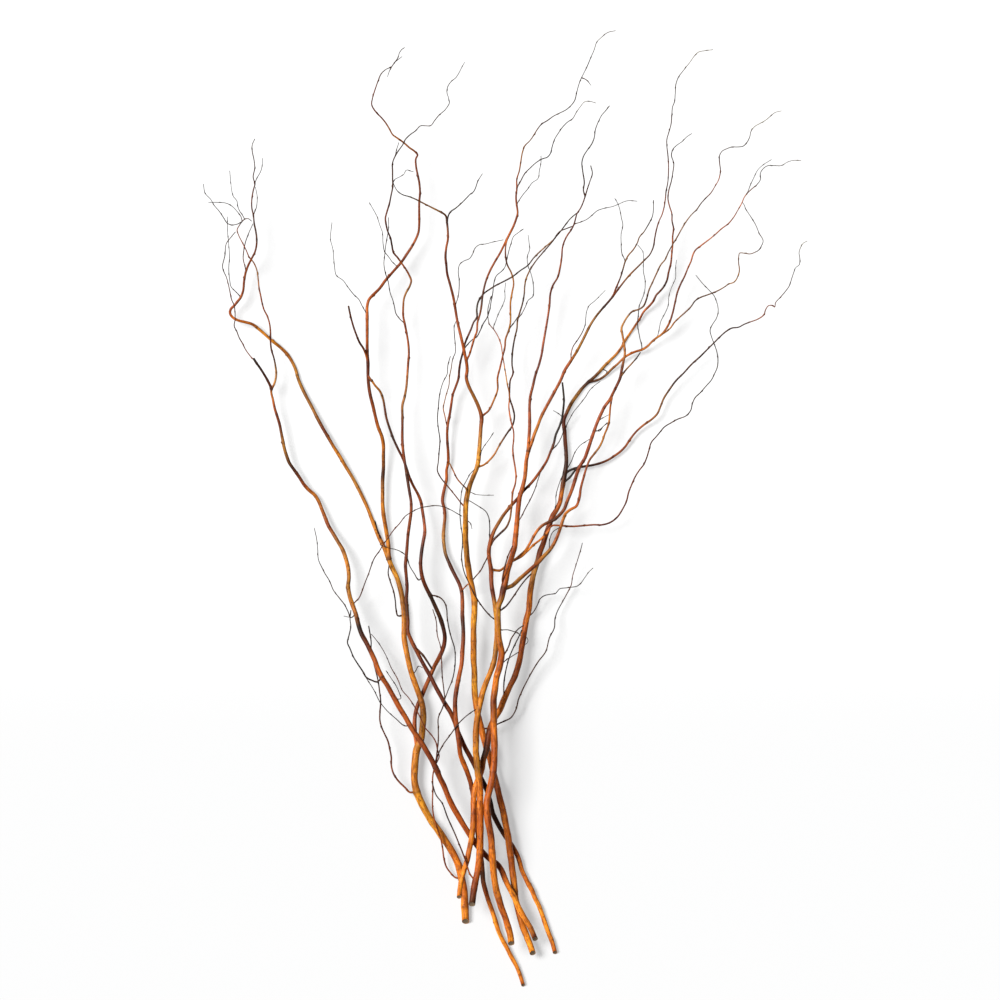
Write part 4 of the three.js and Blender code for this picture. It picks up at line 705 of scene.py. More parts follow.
grow(
    "leader",
    "main",
    [4.2, 3.9, 3.8, 3.2, 2.5, 1.9, 1.6, 1.4, 1.2, 1, 0.8],
    [0, 6, 12, 24, 18, 30, 44, 40, 52, 66, 84],
    "35,60 39,70 43,82 47,92 51,103 56,113 62,124 68,135 76,150 81,162 88,173 95,184 101,195 107,207 "
    "112,217 119,228 127,238 135,247 140,253 149,265 156,274 163,282 172,291 181,300 186,305 191,315 "
    "193,327 195,337 198,347 202,356 204,363 206,375 207,385 209,395 210,408 210,420 209,432 208,440 "
    "208,450 210,457 213,468 214,480 215,490 217,495 218,505 219,518 222,526 228,534 236,544 241,551 "
    "246,556 255,558 264,559",
    bark="amber ochre russet russet orange olive olive umber chestnut olive umber chestnut russet umber "
    "chestnut umber umber slate slate ash ash",
)
grow(
    "leader_fork", "leader", [2.4, 2.1, 1.8, 1.4, 1], [0, 10, 16, 28, 42],
    "140,253 145,265 150,277 154,290 156,297 160,305 166,312 171,320 174,328 180,335 183,340 187,347 "
    "190,354 191,362 191,373",
    bark="russet umber olive slate slate",
)
grow(
    "fork_twig", "leader_fork", [1.2, 1, 0.8], [0, 18, 30],
    "156,297 152,308 151,320 151,332 153,342 151,352 149,362 147,368 143,375",
)
grow(
    "leader_twig", "leader", [1.6, 1.3, 1, 0.8], [0, 14, 26, 44],
    "88,173 89,184 91,191 97,200 103,210 106,218 107,227 108,235 111,242 118,248 125,255 131,261",
    bark="rose umber soot slate",
)
grow(
    "right_arm", "main", [5, 5, 4.6, 3.8, 3.2, 2.7, 2.5, 2.4], [0, 2, 4, 8, 12, 6, 10, 14],
    "4,-112 15,-107 25,-98 33,-91 41,-84 49,-77 55,-70 61,-64 66,-57 71,-47 75,-36 79,-24 82,-17 88,-12 "
    "95,-8 99,2 101,15 105,30 108,40 112,50 118,58 124,66 128,74 131,83 134,90 136,97 137,107 138,118 "
    "140,128",
    bark="umber olive russet olive russet ochre orange russet rose olive ochre ochre orange",
)
grow("arm_twig", "right_arm", [1.3, 1.2], [0, 9], "61,-64 62,-50 66,-40 75,-34")
grow(
    "black_twig", "main", [2.1, 2, 1.8], [0, 6, 4],
    "-3,-142 8,-132 17,-120 25,-108 33,-98 39,-92",
    bark="soot umber soot",
)
grow(
    "side_pair", "main", [2.2, 2, 1.8], [0, 8, 4],
    "4,-112 3,-100 5,-88 8,-76 12,-65 16,-57",
    bark="russet umber chestnut",
)
grow(
    "long_thin", "main", [1.6, 1.4, 1.3], [0, 6, 2],
    "21,-30 26,-22 32,-10 38,1 43,12 47,24 50,33",
    bark="chestnut umber umber slate",
)
grow("whisker_a", "main", [1.4, 1.2], [0, 5], "-2.5,-155 0,-161 10,-162 17,-164 22,-166 26,-169")
grow(
    "whisker_b", "main", [1.6, 1.3], [0, -4],
    "-1,-210 5,-202 15,-195 23,-190",
    bark="chestnut umber umber slate",
)
grow(
    "whisker_c", "main", [1.9, 1.8, 1.6], [0, 6, 4],
    "1,-200 7,-190 11,-182 14,-173 18,-167 24,-160 29,-157",
    bark="chestnut umber umber slate",
)
tell("stem_top")

# %% [markdown]
# ## Laying the stems down
# Looking straight down shows where the stems run, but not how high. A real bunch settles: the first
# stems lie on the surface, the next ones lie on those, and a stiff stem can't dip between two crossings.
# So the stems are laid one at a time in the order of the list. Each is lifted where it crosses those
# below, and the lift fades out along it only as fast as wood of its thickness can bend. The solids were
# laid by the same rules, so each fine piece ends up where its solid is.

# %% Set how stems lie
GAP = 0.3  # clear space kept where one stem lies on another
BEND = 0.75  # slope that a run of 1 mm radius can take
STEEPEST = 0.6
EASE_PASSES = 40
PRESS = 0.4  # depth of the flat spots on which the lowest stems rest
SLANT = 0.8  # lean of a butt's cut, as a share of its thickness
PLAN_TOLERANCE = 1.2  # a route point this near the straight line doesn't guide the lie
RUN_SPACING = 42  # but guides are never further apart than this
TINY = 1e-9  # stands in for a length or a turn of none


def spread(values, share):
    """The value at a share of the way along a list that is spread evenly over 0 to 1."""
    return np.interp(share * (len(values) - 1), range(len(values)), values)


def eased_spread(values, share):
    """The same, with the change slowed near each listed value."""
    place = min(max(share, 0), 1) * (len(values) - 1)
    low = min(int(place), len(values) - 2)
    ease = (1 - math.cos(math.pi * (place - low))) / 2
    return values[low] + (values[low + 1] - values[low]) * ease


def off_line(p, a, b):
    """How far p is from the line through a and b."""
    length = math.dist(a, b) or TINY
    return abs((b[0] - a[0]) * (a[1] - p[1]) - (a[0] - p[0]) * (b[1] - a[1])) / length


def guides(points, forks):
    """Indexes of the route points that guide the lie: the bends, the forks and the ends."""
    kept = {0, len(points) - 1, *forks}

    def split(first, last):
        widest, at = 0, -1
        for i in range(first + 1, last):
            away = off_line(points[i], points[first], points[last])
            if away > widest:
                widest, at = away, i
        too_long = last - first > 1 and math.dist(points[first], points[last]) > RUN_SPACING
        if widest > PLAN_TOLERANCE or too_long:
            middle = at if widest > PLAN_TOLERANCE else (first + last) // 2
            kept.add(middle)
            split(first, middle)
            split(middle, last)

    stops = sorted(kept)
    for first, last in zip(stops, stops[1:]):
        split(first, last)
    return sorted(kept)


for stem in STEMS.values():
    for run in stem.values():
        if run["on"]:
            parent = stem[run["on"]]["points"]
            run["fork_at"] = min(range(len(parent)), key=lambda i: math.dist(parent[i], run["points"][0]))
            stem[run["on"]]["forks"].append(run["fork_at"])
print("runs in each stem:", {name: len(stem) for name, stem in STEMS.items()})

# %% Turn a stem into joined nodes


def lay_out(stem):
    """Gives a stem's nodes, each [x, y, radius, clear height under it], and the links between them."""
    nodes, links = [], []
    for run in stem.values():
        steps = [math.dist(a, b) for a, b in zip(run["points"], run["points"][1:])]
        travel = np.concatenate([[0], np.cumsum(steps)])
        run["travel"] = travel
        run["node_at"] = {}
        base = 0
        if run["on"]:
            root = stem[run["on"]]["node_at"][run["fork_at"]]
            base = nodes[root][3] + nodes[root][2] - run["thick"][0] / 2
        for i in guides(run["points"], run["forks"]):
            if i == 0 and run["on"]:
                run["node_at"][0] = root
                continue
            share = travel[i] / travel[-1]
            clear = max(0, base + eased_spread(run["rise"], share))
            nodes.append([*run["points"][i], spread(run["thick"], share) / 2, clear])
            if run["node_at"]:
                links.append((list(run["node_at"].values())[-1], len(nodes) - 1))
            run["node_at"][i] = len(nodes) - 1
    return np.array(nodes), links


plans = {name: lay_out(stem) for name, stem in STEMS.items()}
print("guide nodes:", sum(len(nodes) for nodes, _ in plans.values()))

# %% Find how high a stem must be to clear those below it


def nearest_share(p, a, b):
    """The share of the way along a-b that is nearest to p in plan."""
    along = b[:2] - a[:2]
    return float(np.clip(np.dot(p[:2] - a[:2], along) / np.dot(along, along), 0, 1))


def crossing(a, b, c, d):
    """Where a-b and c-d cross in plan, as shares of each, or None."""
    turn = (b[0] - a[0]) * (d[1] - c[1]) - (b[1] - a[1]) * (d[0] - c[0])
    if abs(turn) < TINY:
        return None
    s = ((c[0] - a[0]) * (d[1] - c[1]) - (c[1] - a[1]) * (d[0] - c[0])) / turn
    t = ((c[0] - a[0]) * (b[1] - a[1]) - (c[1] - a[1]) * (b[0] - a[0])) / turn
    return (s, t) if 0 <= s <= 1 and 0 <= t <= 1 else None


def height_over(a, b, radius, piece):
    """The least centre height of the straight piece a-b that clears one laid piece."""
    c, d, laid_radius, steep = piece
    reach = radius + laid_radius + GAP
    pairs = [(0, nearest_share(a, c, d)), (1, nearest_share(b, c, d))]
    pairs += [(nearest_share(c, a, b), 0), (nearest_share(d, a, b), 1)]
    meet = crossing(a, b, c, d)
    if meet:
        pairs.append(meet)
    height = 0
    for s, t in pairs:
        apart = math.dist(a[:2] + (b[:2] - a[:2]) * s, c[:2] + (d[:2] - c[:2]) * t)
        if apart < reach:
            over = c[2] + (d[2] - c[2]) * t + steep * math.sqrt(reach * reach - apart * apart)
            height = max(height, over)
    return height


# %% Lay the stems, lowest first


def lay_down(nodes, links, laid, corners):
    """Gives the centre height of each node of a stem that comes to lie on the laid pieces."""
    xy, radii, clear = nodes[:, :2], nodes[:, 2], nodes[:, 3]
    least = np.zeros(len(nodes))
    for a, b in links:
        radius = max(radii[a], radii[b])
        low = np.minimum(xy[a], xy[b]) - radius - GAP
        high = np.maximum(xy[a], xy[b]) + radius + GAP
        near = np.nonzero(((corners[:, :2] <= high) & (corners[:, 2:] >= low)).all(axis=1))[0]
        for k in near:
            height = height_over(xy[a], xy[b], radius, laid[k])
            least[a] = max(least[a], height)
            least[b] = max(least[b], height)
    bound = np.maximum(0, least - clear - radii)
    lift = bound.copy()
    lengths = [math.dist(xy[a], xy[b]) for a, b in links]
    drops = [min(STEEPEST, BEND / max(radii[a], radii[b])) * n for (a, b), n in zip(links, lengths)]
    for (a, b), drop in reversed(list(zip(links, drops))):
        lift[a] = max(lift[a], lift[b] - drop)
    for (a, b), drop in zip(links, drops):
        lift[b] = max(lift[b], lift[a] - drop)
    for _ in range(EASE_PASSES):
        total, weights = np.zeros(len(nodes)), np.zeros(len(nodes))
        for (a, b), length in zip(links, lengths):
            weight = min(radii[a], radii[b]) / length
            total[a] += weight * lift[b]
            total[b] += weight * lift[a]
            weights[a] += weight
            weights[b] += weight
        lift = np.maximum(bound, (lift + total / weights) / 2)
    return clear + lift + radii


laid, corners = [], np.zeros((0, 4))
heights = {}
for name, (nodes, links) in plans.items():
    z = lay_down(nodes, links, laid, corners)
    heights[name] = z
    new = []
    for a, b in links:
        c, d = np.append(nodes[a, :2], z[a]), np.append(nodes[b, :2], z[b])
        radius = max(nodes[a, 2], nodes[b, 2])
        steep = math.hypot(1, (z[b] - z[a]) / math.dist(c[:2], d[:2]))
        laid.append((c, d, radius, steep))
        new.append([*(np.minimum(c[:2], d[:2]) - radius), *(np.maximum(c[:2], d[:2]) + radius)])
    corners = np.vstack([corners, new])

everywhere = np.vstack([nodes for nodes, _ in plans.values()])
low = (everywhere[:, :2] - everywhere[:, 2:3]).min(axis=0)
high = (everywhere[:, :2] + everywhere[:, 2:3]).max(axis=0)
MIDDLE = np.array([*(low + high) / 2, PRESS])
print("laid to", round(max(z.max() for z in heights.values()), 1), "mm high")

# %% [markdown]
# ## A smooth centre line
# Straight pieces between the route's points would show as corners on thick wood. A cubic through the
# points keeps them all and bends in between. A spline object could do it too, but its thickness could
# then not carry the nodes and buds, so the curve is worked out here and skinned below.

# %% Run a cubic through the points


class Centreline:
    """A smooth line through points, read by distance from its root."""

    def __init__(self, points, first_way=None):
        self.points = points
        steps = np.linalg.norm(np.diff(points, axis=0), axis=1)
        self.at = np.concatenate([[0], np.cumsum(steps)])
        slopes = np.diff(points, axis=0) / steps[:, None]
        ways = np.vstack([slopes[:1], slopes])
        before, after = steps[:-1, None], steps[1:, None]
        ways[1:-1] = (slopes[:-1] * after + slopes[1:] * before) / (before + after)
        if first_way is not None:
            ways[0] = (slopes[0] + first_way) / 2
        self.ways = ways
        self.length = self.at[-1]

    def read(self, s):
        """Positions and unit directions at distances s."""
        i = np.clip(np.searchsorted(self.at, s, side="right") - 1, 0, len(self.at) - 2)
        h = (self.at[i + 1] - self.at[i])[:, None]
        t = (s - self.at[i])[:, None] / h
        a, b, m, n = self.points[i], self.points[i + 1], self.ways[i] * h, self.ways[i + 1] * h
        place = (2 * t**3 - 3 * t**2 + 1) * a + (t**3 - 2 * t**2 + t) * m
        place += (3 * t**2 - 2 * t**3) * b + (t**3 - t**2) * n
        way = (6 * t**2 - 6 * t) * (a - b) / h + (3 * t**2 - 4 * t + 1) * m / h + (3 * t**2 - 2 * t) * n / h
        return place, way / np.linalg.norm(way, axis=1)[:, None]


for name, stem in STEMS.items():
    nodes, z = plans[name][0], heights[name]
    for run in stem.values():
        kept = list(run["node_at"])
        climb = np.interp(run["travel"], run["travel"][kept], z[list(run["node_at"].values())])
        points = np.column_stack([run["points"], climb])
        way = None
        if run["on"]:
            parent = stem[run["on"]]["line"]
            points[0] = parent.points[run["fork_at"]]
            way = parent.ways[run["fork_at"]]
        run["line"] = Centreline(points, way)
wood = [run["line"].length for stem in STEMS.values() for run in stem.values()]
print("wood to skin:", round(sum(wood) * MM, 1), "m")

# %% [markdown]
# ## The slightest twigs
# A few twigs are about as long as a fingernail: tips that fork once more, and shoots that dried after a
# season. They are too slight to matter to how a stem lies, so they are grown now, straight from the
# finished centre lines, and each climbs a little from its root.

# %% Grow the slightest twigs
CLIMB = 0.15  # rise of such a twig for each mm of its length
FINE = (1.3, 0.8)
FINE_BARK = "umber soot"
SLIGHTEST = [
    ("stem_ochre_forked", "red_end", "red", "-160,149 -162,151 -164,155", (2.9, 2.5), "ochre russet"),
    ("stem_ochre_forked", "bud_low", "main", "-145,-57 -150,-48 -153,-38 -156,-27"),
    ("stem_ochre_forked", "crook", "main", "-109,-220 -105,-213 -102,-208 -97,-210"),
    ("stem_ochre_forked", "tip_left", "upright", "-130,545 -135,539 -138,533 -140,527"),
    ("stem_ochre_forked", "tip_right", "upright", "-130,546 -126,549 -122,552"),
    ("stem_golden", "shoot", "main", "-41,-25 -37,-29 -35,-36"),
    ("stem_golden", "tall_bud", "tall", "102,524 107,522 113,515"),
    ("stem_olive", "rung_high", "red_leader", "119,97 126,101 131,104 137,107"),
    ("stem_olive", "rung_low", "red_leader", "119,85 123,87 129,92 134,97"),
    ("stem_right", "peg", "main", "126,166 131,163 134,161 130,155"),
    ("stem_right", "hook_end", "hook", "307,365 305,368 303,371", (1, 0.9), "slate slate"),
]


def add_slight(stem, name, on, route, thick=FINE, bark=FINE_BARK):
    """Adds a slight twig, with its own line from where it leaves the run named in on."""
    add_run(stem, name, on, thick, [0], route, bark)
    run = STEMS[stem][name]
    parent = STEMS[stem][on]["line"]
    along = parent.read(np.arange(0, parent.length, 1.0))[0]
    root = along[np.argmin(np.linalg.norm(along[:, :2] - run["points"][0], axis=1))]
    rest = [(*p, root[2] + CLIMB * math.dist(root[:2], p)) for p in run["points"][1:]]
    run["line"] = Centreline(np.array([root, *rest]))


for twig in SLIGHTEST:
    add_slight(*twig)
print("slightest twigs:", len(SLIGHTEST))

# %% [markdown]
# ## Nodes, buds and collars
# A willow shoot carries a leaf every few centimetres, each two fifths of a turn round from the last. On
# dried wood each leaves a slight swelling with a scar, and on young wood a small bud pressed against the
# stem. Where a branch leaves, both swell into a collar. These could be separate lumps stuck on, but
# real ones grow out of the bark, so they are changes of radius on the one skin.

# %% Place nodes along a run
LEAF_TURN = math.tau * 2 / 5
LEAN = 0.25  # how far a leaf may stand from its turn, in radians
COLLAR_CLEAR = 1.5  # length at the root without nodes, for each mm of thickness
FIRST_LEAF = (4, 12)  # how far past that the first node is
LAST_LEAF = 3  # length at the tip without nodes
LEAF_SPACING = 13  # distance between nodes on the very thinnest wood
WIDER_SPACING = 9  # how much more for each mm of radius
UNEVEN = (0.75, 1.3)  # how the spacing varies


def nodes_along(run, chance):
    """Distances from the root at which the run has a node, and the side that each faces."""
    places = []
    s = run["thick"][0] * COLLAR_CLEAR + chance.uniform(*FIRST_LEAF)
    turn = chance.uniform(0, math.tau)
    while s < run["line"].length - LAST_LEAF:
        places.append((s, turn))
        radius = spread(run["thick"], s / run["line"].length) / 2
        s += (LEAF_SPACING + WIDER_SPACING * radius) * chance.uniform(*UNEVEN)
        turn += LEAF_TURN + chance.uniform(-LEAN, LEAN)
    return places


trial = nodes_along(STEMS["stem_top"]["main"], random.Random("trial"))
print("nodes on a main run:", len(trial))

# %% Choose where a run gets rings of points
SIDES = [(2.4, 14), (1.4, 11), (0.8, 8), (0, 6)]  # least radius, and the sides of its rings
RING_STEP = 1.1  # distance between rings on plain wood, for each mm of radius
CLOSE, WIDE = 1.6, 3.4  # but never less or more than this
NODE_RINGS = (-1.4, -0.5, 0, 0.6, 1.6, 2.6, 3.4, 4.2)  # the rings at a node, from its middle
LEAST_STEP = 0.35  # a ring nearer than this to the next one is left out
FIRST_STEP = 0.2  # and so is one nearer than this to the root


def sides_for(radius):
    """Sides of the ring: the thicker the run, the rounder."""
    return next(sides for least, sides in SIDES if radius > least)


def stations(run, places):
    """Distances along the run at which it gets a ring, close together at nodes and ends."""
    length = run["line"].length
    marks, s = [0], 0
    while s < length - 1:
        radius = spread(run["thick"], s / length) / 2
        s += min(max(radius * RING_STEP, CLOSE), WIDE)
        marks.append(min(s, length))
    for place, _ in places:
        marks += [place + d for d in NODE_RINGS]
    marks = sorted(m for m in marks if 0 <= m <= length)
    spaced = [m for m, after in zip(marks, marks[1:]) if after - m > LEAST_STEP]
    return np.array([0, *[m for m in spaced if m > FIRST_STEP], length])


print("rings on that run:", len(stations(STEMS["stem_top"]["main"], trial)))

# %% Shape a node
YOUNG = 2.1  # radius under which a node still has its bud
NODE_SWELL = 0.04  # rise of the bark all round a node, for each mm of radius
LEAF_SWELL = 0.09  # and how much more on the leaf's side
NODE_SPAN = (0.8, 0.6)  # half length of that, and how much more for each mm of radius
LEAF_WIDTH = 0.75  # half width of the leaf's side, in mm round the bark
WIDEST_LEAF = 1.4  # but never more than this, in radians
BUD_LENGTH = 3.4
BUD_HEIGHT = (0.4, 0.2)
BUD_BLUNTNESS = 0.6  # under 1, a bud is thickest below its middle
BUD_DARK = 0.5
FOOT_HEIGHT, FOOT_SPAN = 0.1, 1.2  # the ridge at the foot of a bud
FOOT_DARK, FOOT_DARK_SPAN = 0.8, 1.3
SCAR_HEIGHT, SCAR_SPAN = 0.3, 0.9
SCAR_DARK, SCAR_DARK_SPAN = 0.9, (0.5, 0.25)


def bump(x, width):
    """A smooth hump, 1 at x = 0."""
    return np.exp(-((x / width) ** 2))


def turned(angle):
    """The angle brought to within half a turn either way."""
    return (angle + math.pi) % math.tau - math.pi


def sized(pair, radius):
    """A size made of a fixed part and a part for each mm of radius."""
    return pair[0] + pair[1] * radius


def node_form(beyond, angle, here):
    """What a node adds to the radius and to the knottiness, on wood of the radius here."""
    facing = bump(turned(angle), min(LEAF_WIDTH / here, WIDEST_LEAF))
    raised = here * (NODE_SWELL + LEAF_SWELL * facing) * bump(beyond, sized(NODE_SPAN, here))
    if here < YOUNG:
        along = np.clip(beyond / BUD_LENGTH, 0, 1)
        raised += sized(BUD_HEIGHT, here) * np.sin(math.pi * along**BUD_BLUNTNESS) * facing
        raised += FOOT_HEIGHT * bump(beyond, FOOT_SPAN)
        dark = BUD_DARK * np.sin(math.pi * along) * facing
        dark += FOOT_DARK * bump(beyond, FOOT_DARK_SPAN) * (0.45 + 0.55 * facing)
    else:
        raised += SCAR_HEIGHT * bump(beyond, SCAR_SPAN) * facing
        dark = SCAR_DARK * bump(beyond, sized(SCAR_DARK_SPAN, here)) * (0.3 + 0.7 * facing)
    return raised, dark


print("a young node has its bud under", YOUNG, "mm radius")

# %% Shape the skin of a run
SWELL, SWELL_LENGTH = 0.03, 8  # slow swelling along a run, as a share of its radius
DENT, DENT_LENGTH = 0.022, 3.7  # short dents on two opposite sides
RIDGE, RIDGE_LENGTH = 0.018, 12  # three ridges that wind round the run
STOUT = 1.5  # radius over which the bark is no more uneven than that
ROUGHEST = 2.4  # how many times as uneven the thinnest wood is
COLLAR_SHARES = (0.16, 0.09)  # height of a collar: the lesser of these shares of branch and run
# painted shade: a branch's collar and root are darkened as if the crotch of the fork were shaded
COLLAR_SHADE = 0.6
ROOT_SWELL, ROOT_SPAN = 0.4, (0.8, 1)
ROOT_SHADE, ROOT_SHADE_SPAN = 0.9, (1.2, 0.9)


def uneven(radius, rows, around, chance):
    """The radius with the swellings, dents and ridges of dried wood."""
    phase = [chance.uniform(0, math.tau) for _ in range(3)]
    rough = np.clip(STOUT / radius, 1, ROUGHEST)
    ripple = SWELL * np.sin(rows / SWELL_LENGTH + phase[0])
    ripple = ripple + DENT * np.sin(rows / DENT_LENGTH + 2 * around + phase[1])
    return radius * (1 + rough * ripple + RIDGE * np.sin(3 * around + rows / RIDGE_LENGTH + phase[2]))


def collar_form(beyond, root, here):
    """Raise and painted shade of the collar under a branch of the radius root, on wood of the radius here.
    """
    height = min(COLLAR_SHARES[0] * root, COLLAR_SHARES[1] * here)
    raised = height * bump(beyond - root, 1.6 * root + 1.1 * here)
    dark = COLLAR_SHADE * min(root / here + 0.25, 1) * bump(beyond - 0.8 * root, 1.1 * root + 0.5)
    return raised, dark


def skin_radii(run, stem, s, angles, places, chance):
    """Radius and darkness (marks and painted fork shade) at each ring (rows) and side (columns) of a run.
    """
    radius = spread(run["thick"], s / run["line"].length)[:, None] / 2
    rows, around = s[:, None], angles[None, :]
    skin = uneven(radius, rows, around, chance)
    marks_and_fork_shade = np.zeros_like(skin)
    for place, turn in places:
        here = float(np.interp(place, s, radius[:, 0]))
        raised, dark = node_form(rows - place, around - turn, here)
        skin += raised
        marks_and_fork_shade += dark
    for child in stem.values():
        if child["on"] == run["name"] and "fork_at" in child:
            place = run["line"].at[child["fork_at"]]
            here = float(np.interp(place, s, radius[:, 0]))
            raised, dark = collar_form(rows - place, child["thick"][0] / 2, here)
            skin += raised
            marks_and_fork_shade += dark
    # a branch's root swells, and is darkened all round with the painted shade of its fork
    if run["on"]:
        wide = stem[run["on"]]["thick"][0] / 2
        skin *= 1 + ROOT_SWELL * bump(rows, sized(ROOT_SPAN, wide))
        marks_and_fork_shade += ROOT_SHADE * bump(rows, sized(ROOT_SHADE_SPAN, wide))
    return skin, np.clip(marks_and_fork_shade, 0, 1)


print("a branch's root is wider by", ROOT_SWELL, "of its radius")

# %% [markdown]
# ## The skin
# Each run becomes rings of points joined by four-sided faces. A butt is cut on the slant, with a rim of
# bark round bare wood. A tip is drawn in to a point, or is blunt where the real twig is broken. The
# piece also remembers, at each point, the bark colour, how dark its node marks and the painted shade at
# its forks make it, and where the point would be if the run were straight, so that the grain of the bark
# can follow every bend.

# %% Shape the two ends
CUT_RINGS = [(0.16, 0.5), (0.5, 0.42), (0.84, 0.4), (0.9, 0.0)]  # share of radius, and depth in mm
TIP_RINGS = [(0.45, 0.9), (0.85, 0.66), (1.1, 0.34)]  # distance on and radius, as shares of the tip's
BLUNT = 0.85  # a tip of more than this radius is a broken or cut end
BLUNT_REACH = 0.3  # and it is rounded over this share of its radius
BARK, CUT = 0, 1


def with_butt(points, centre, way):
    """Adds the rings of a cut face before the first ring."""
    shrunk = [centre[0] + (points[0] - centre[0]) * share + way[0] * depth for share, depth in CUT_RINGS]
    return np.concatenate([shrunk, points])


def with_tip(points, centre, way, reach):
    """Adds the rings that draw the last one in."""
    end = centre[-1]
    shrunk = [end + (points[-1] - end) * share + way[-1] * reach * on for on, share in TIP_RINGS]
    return np.concatenate([points, shrunk])


def banded(values, before, after):
    """Repeats the first and last row for the rings that were added at the ends."""
    return np.concatenate([values[:1]] * before + [values] + [values[-1:]] * after)


print("rings added at a butt and a tip:", len(CUT_RINGS), len(TIP_RINGS))

# %% Skin one run
SLANT_FADE = 3  # the slant of a butt's cut is lost over so many of its radii
BARK_RANGE = 500  # runs take their bark from places up to this far apart


def skin_run(run, stem, chance):
    """Gives one run's points, what each remembers, its faces and the material of each face."""
    places = nodes_along(run, chance)
    s = stations(run, places)
    sides = sides_for(max(run["thick"]) / 2)
    angles = (np.arange(sides) + 0.5) * math.tau / sides
    radii, marks_and_fork_shade = skin_radii(run, stem, s, angles, places, chance)
    centre, way = run["line"].read(s)
    side = np.cross(way, [0, 0, 1])
    side /= np.linalg.norm(side, axis=1)[:, None]
    top = np.cross(side, way)
    across, up = radii * np.cos(angles), radii * np.sin(angles)
    points = centre[:, None] + across[..., None] * side[:, None] + up[..., None] * top[:, None]
    before = 0
    if not run["on"]:
        fade = np.clip(1 - s / (SLANT_FADE * radii[0].mean()), 0, 1)[:, None]
        points += (SLANT * up * fade)[..., None] * way[:, None]
        before = len(CUT_RINGS)
        across = np.concatenate([[across[0] * share for share, _ in CUT_RINGS], across])
        up = np.concatenate([[up[0] * share for share, _ in CUT_RINGS], up])
    tip = radii[-1].mean()
    points = with_tip(points, centre, way, tip if tip < BLUNT else BLUNT_REACH * tip)
    after = len(TIP_RINGS)
    if before:
        points = with_butt(points, centre, way)
    across, up = banded(across, 0, after), banded(up, 0, after)
    s, marks_and_fork_shade = banded(s, before, after), banded(marks_and_fork_shade, before, after)
    apart = chance.uniform(0, BARK_RANGE)
    straight = np.stack([across, up, np.broadcast_to((s + apart)[:, None], across.shape)], axis=-1)
    colours = np.array([COLOURS[name] for name in run["bark"]])
    share = np.clip(s / run["line"].length, 0, 1)
    bark = np.column_stack([spread(channel, share) for channel in colours.T])
    bark = np.repeat(bark[:, None], sides, axis=1)
    return join_rings(points, straight, bark, marks_and_fork_shade, before)


def join_rings(points, straight, bark, marks_and_fork_shade, before):
    """Joins rings into faces and closes both ends to a point."""
    rings, sides = points.shape[:2]
    k = np.arange(sides)
    row = np.arange(rings - 1)[:, None] * sides
    here, beside = (row + k).ravel(), (row + (k + 1) % sides).ravel()
    faces = np.column_stack([here, here + sides, beside + sides, beside]).tolist()
    kinds = np.repeat([CUT if band < before - 1 else BARK for band in range(rings - 1)], sides).tolist()
    flat = [a.reshape(rings * sides, -1) for a in (points, straight, bark, marks_and_fork_shade)]
    flat = [np.vstack([a, a[:sides].mean(axis=0), a[-sides:].mean(axis=0)]) for a in flat]
    first, last = rings * sides, rings * sides + 1
    final = (rings - 1) * sides
    faces += [[first, j, (j + 1) % sides] for j in range(sides)]
    faces += [[last, final + (j + 1) % sides, final + j] for j in range(sides)]
    kinds += [CUT if before else BARK] * sides + [BARK] * sides
    return flat, faces, kinds


trial = skin_run(STEMS["stem_top"]["main"], STEMS["stem_top"], random.Random("trial"))
print("faces on a main run:", len(trial[1]))

# %% [markdown]
# ## One piece for each stem
# A stem's runs go into one mesh, because the stem grew as one piece of wood. Each branch starts on its
# parent's centre line, so its root is buried and only the collar shows. Points that would press below
# the surface are set on it, which gives the lowest stems the small flat spots that they lie on.

# %% Make the eight pieces
SHARP = math.radians(60)  # an edge that turns more than this stays crisp


def stem_piece(name, stem):
    """Makes the mesh of one stem, with what its points remember as attributes."""
    chance = random.Random(name)
    skins, faces, kinds, count = [], [], [], 0
    for run in stem.values():
        flat, run_faces, run_kinds = skin_run(run, stem, chance)
        skins.append(flat)
        faces += [[i + count for i in face] for face in run_faces]
        kinds += run_kinds
        count += len(flat[0])
    points, straight, bark, marks_and_fork_shade = [np.vstack(parts) for parts in zip(*skins)]
    points = points - MIDDLE
    points[:, 2] = np.maximum(points[:, 2], 0)
    mesh = bpy.data.meshes.new(name + "_bark")
    mesh.from_pydata((points * MM).tolist(), [], faces)
    mesh.polygons.foreach_set("material_index", kinds)
    mesh.attributes.new("straight", "FLOAT_VECTOR", "POINT").data.foreach_set("vector", straight.ravel())
    colour = np.column_stack([bark, np.ones(len(bark))])
    mesh.attributes.new("bark_colour", "FLOAT_COLOR", "POINT").data.foreach_set("color", colour.ravel())
    mesh.attributes.new("marks_and_fork_shade", "FLOAT", "POINT").data.foreach_set("value", marks_and_fork_shade.ravel())
    mesh.shade_smooth()
    mesh.set_sharp_from_angle(angle=SHARP)
    mesh.update()
    piece = bpy.data.objects.new(name + "_fine", mesh)
    bpy.context.scene.collection.objects.link(piece)
    return piece


pieces = {name: stem_piece(name, stem) for name, stem in STEMS.items()}
for name, piece in pieces.items():
    low, high = [np.array(corner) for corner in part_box(name)]
    points = np.array([vertex.co for vertex in piece.data.vertices])
    reach = np.abs(points - np.clip(points, low, high)).max()
    print(name, len(piece.data.polygons), "faces, past its solid's box by", round(reach / MM, 2), "mm")

# %% [markdown]
# ## Shader maths as expressions
# A bark pattern is a sum of many small terms. Wiring each by hand hides the idea, so one small class
# stands for a socket and turns Python's arithmetic into Math nodes, and one method makes any other node.

# %% Wrap sockets and materials


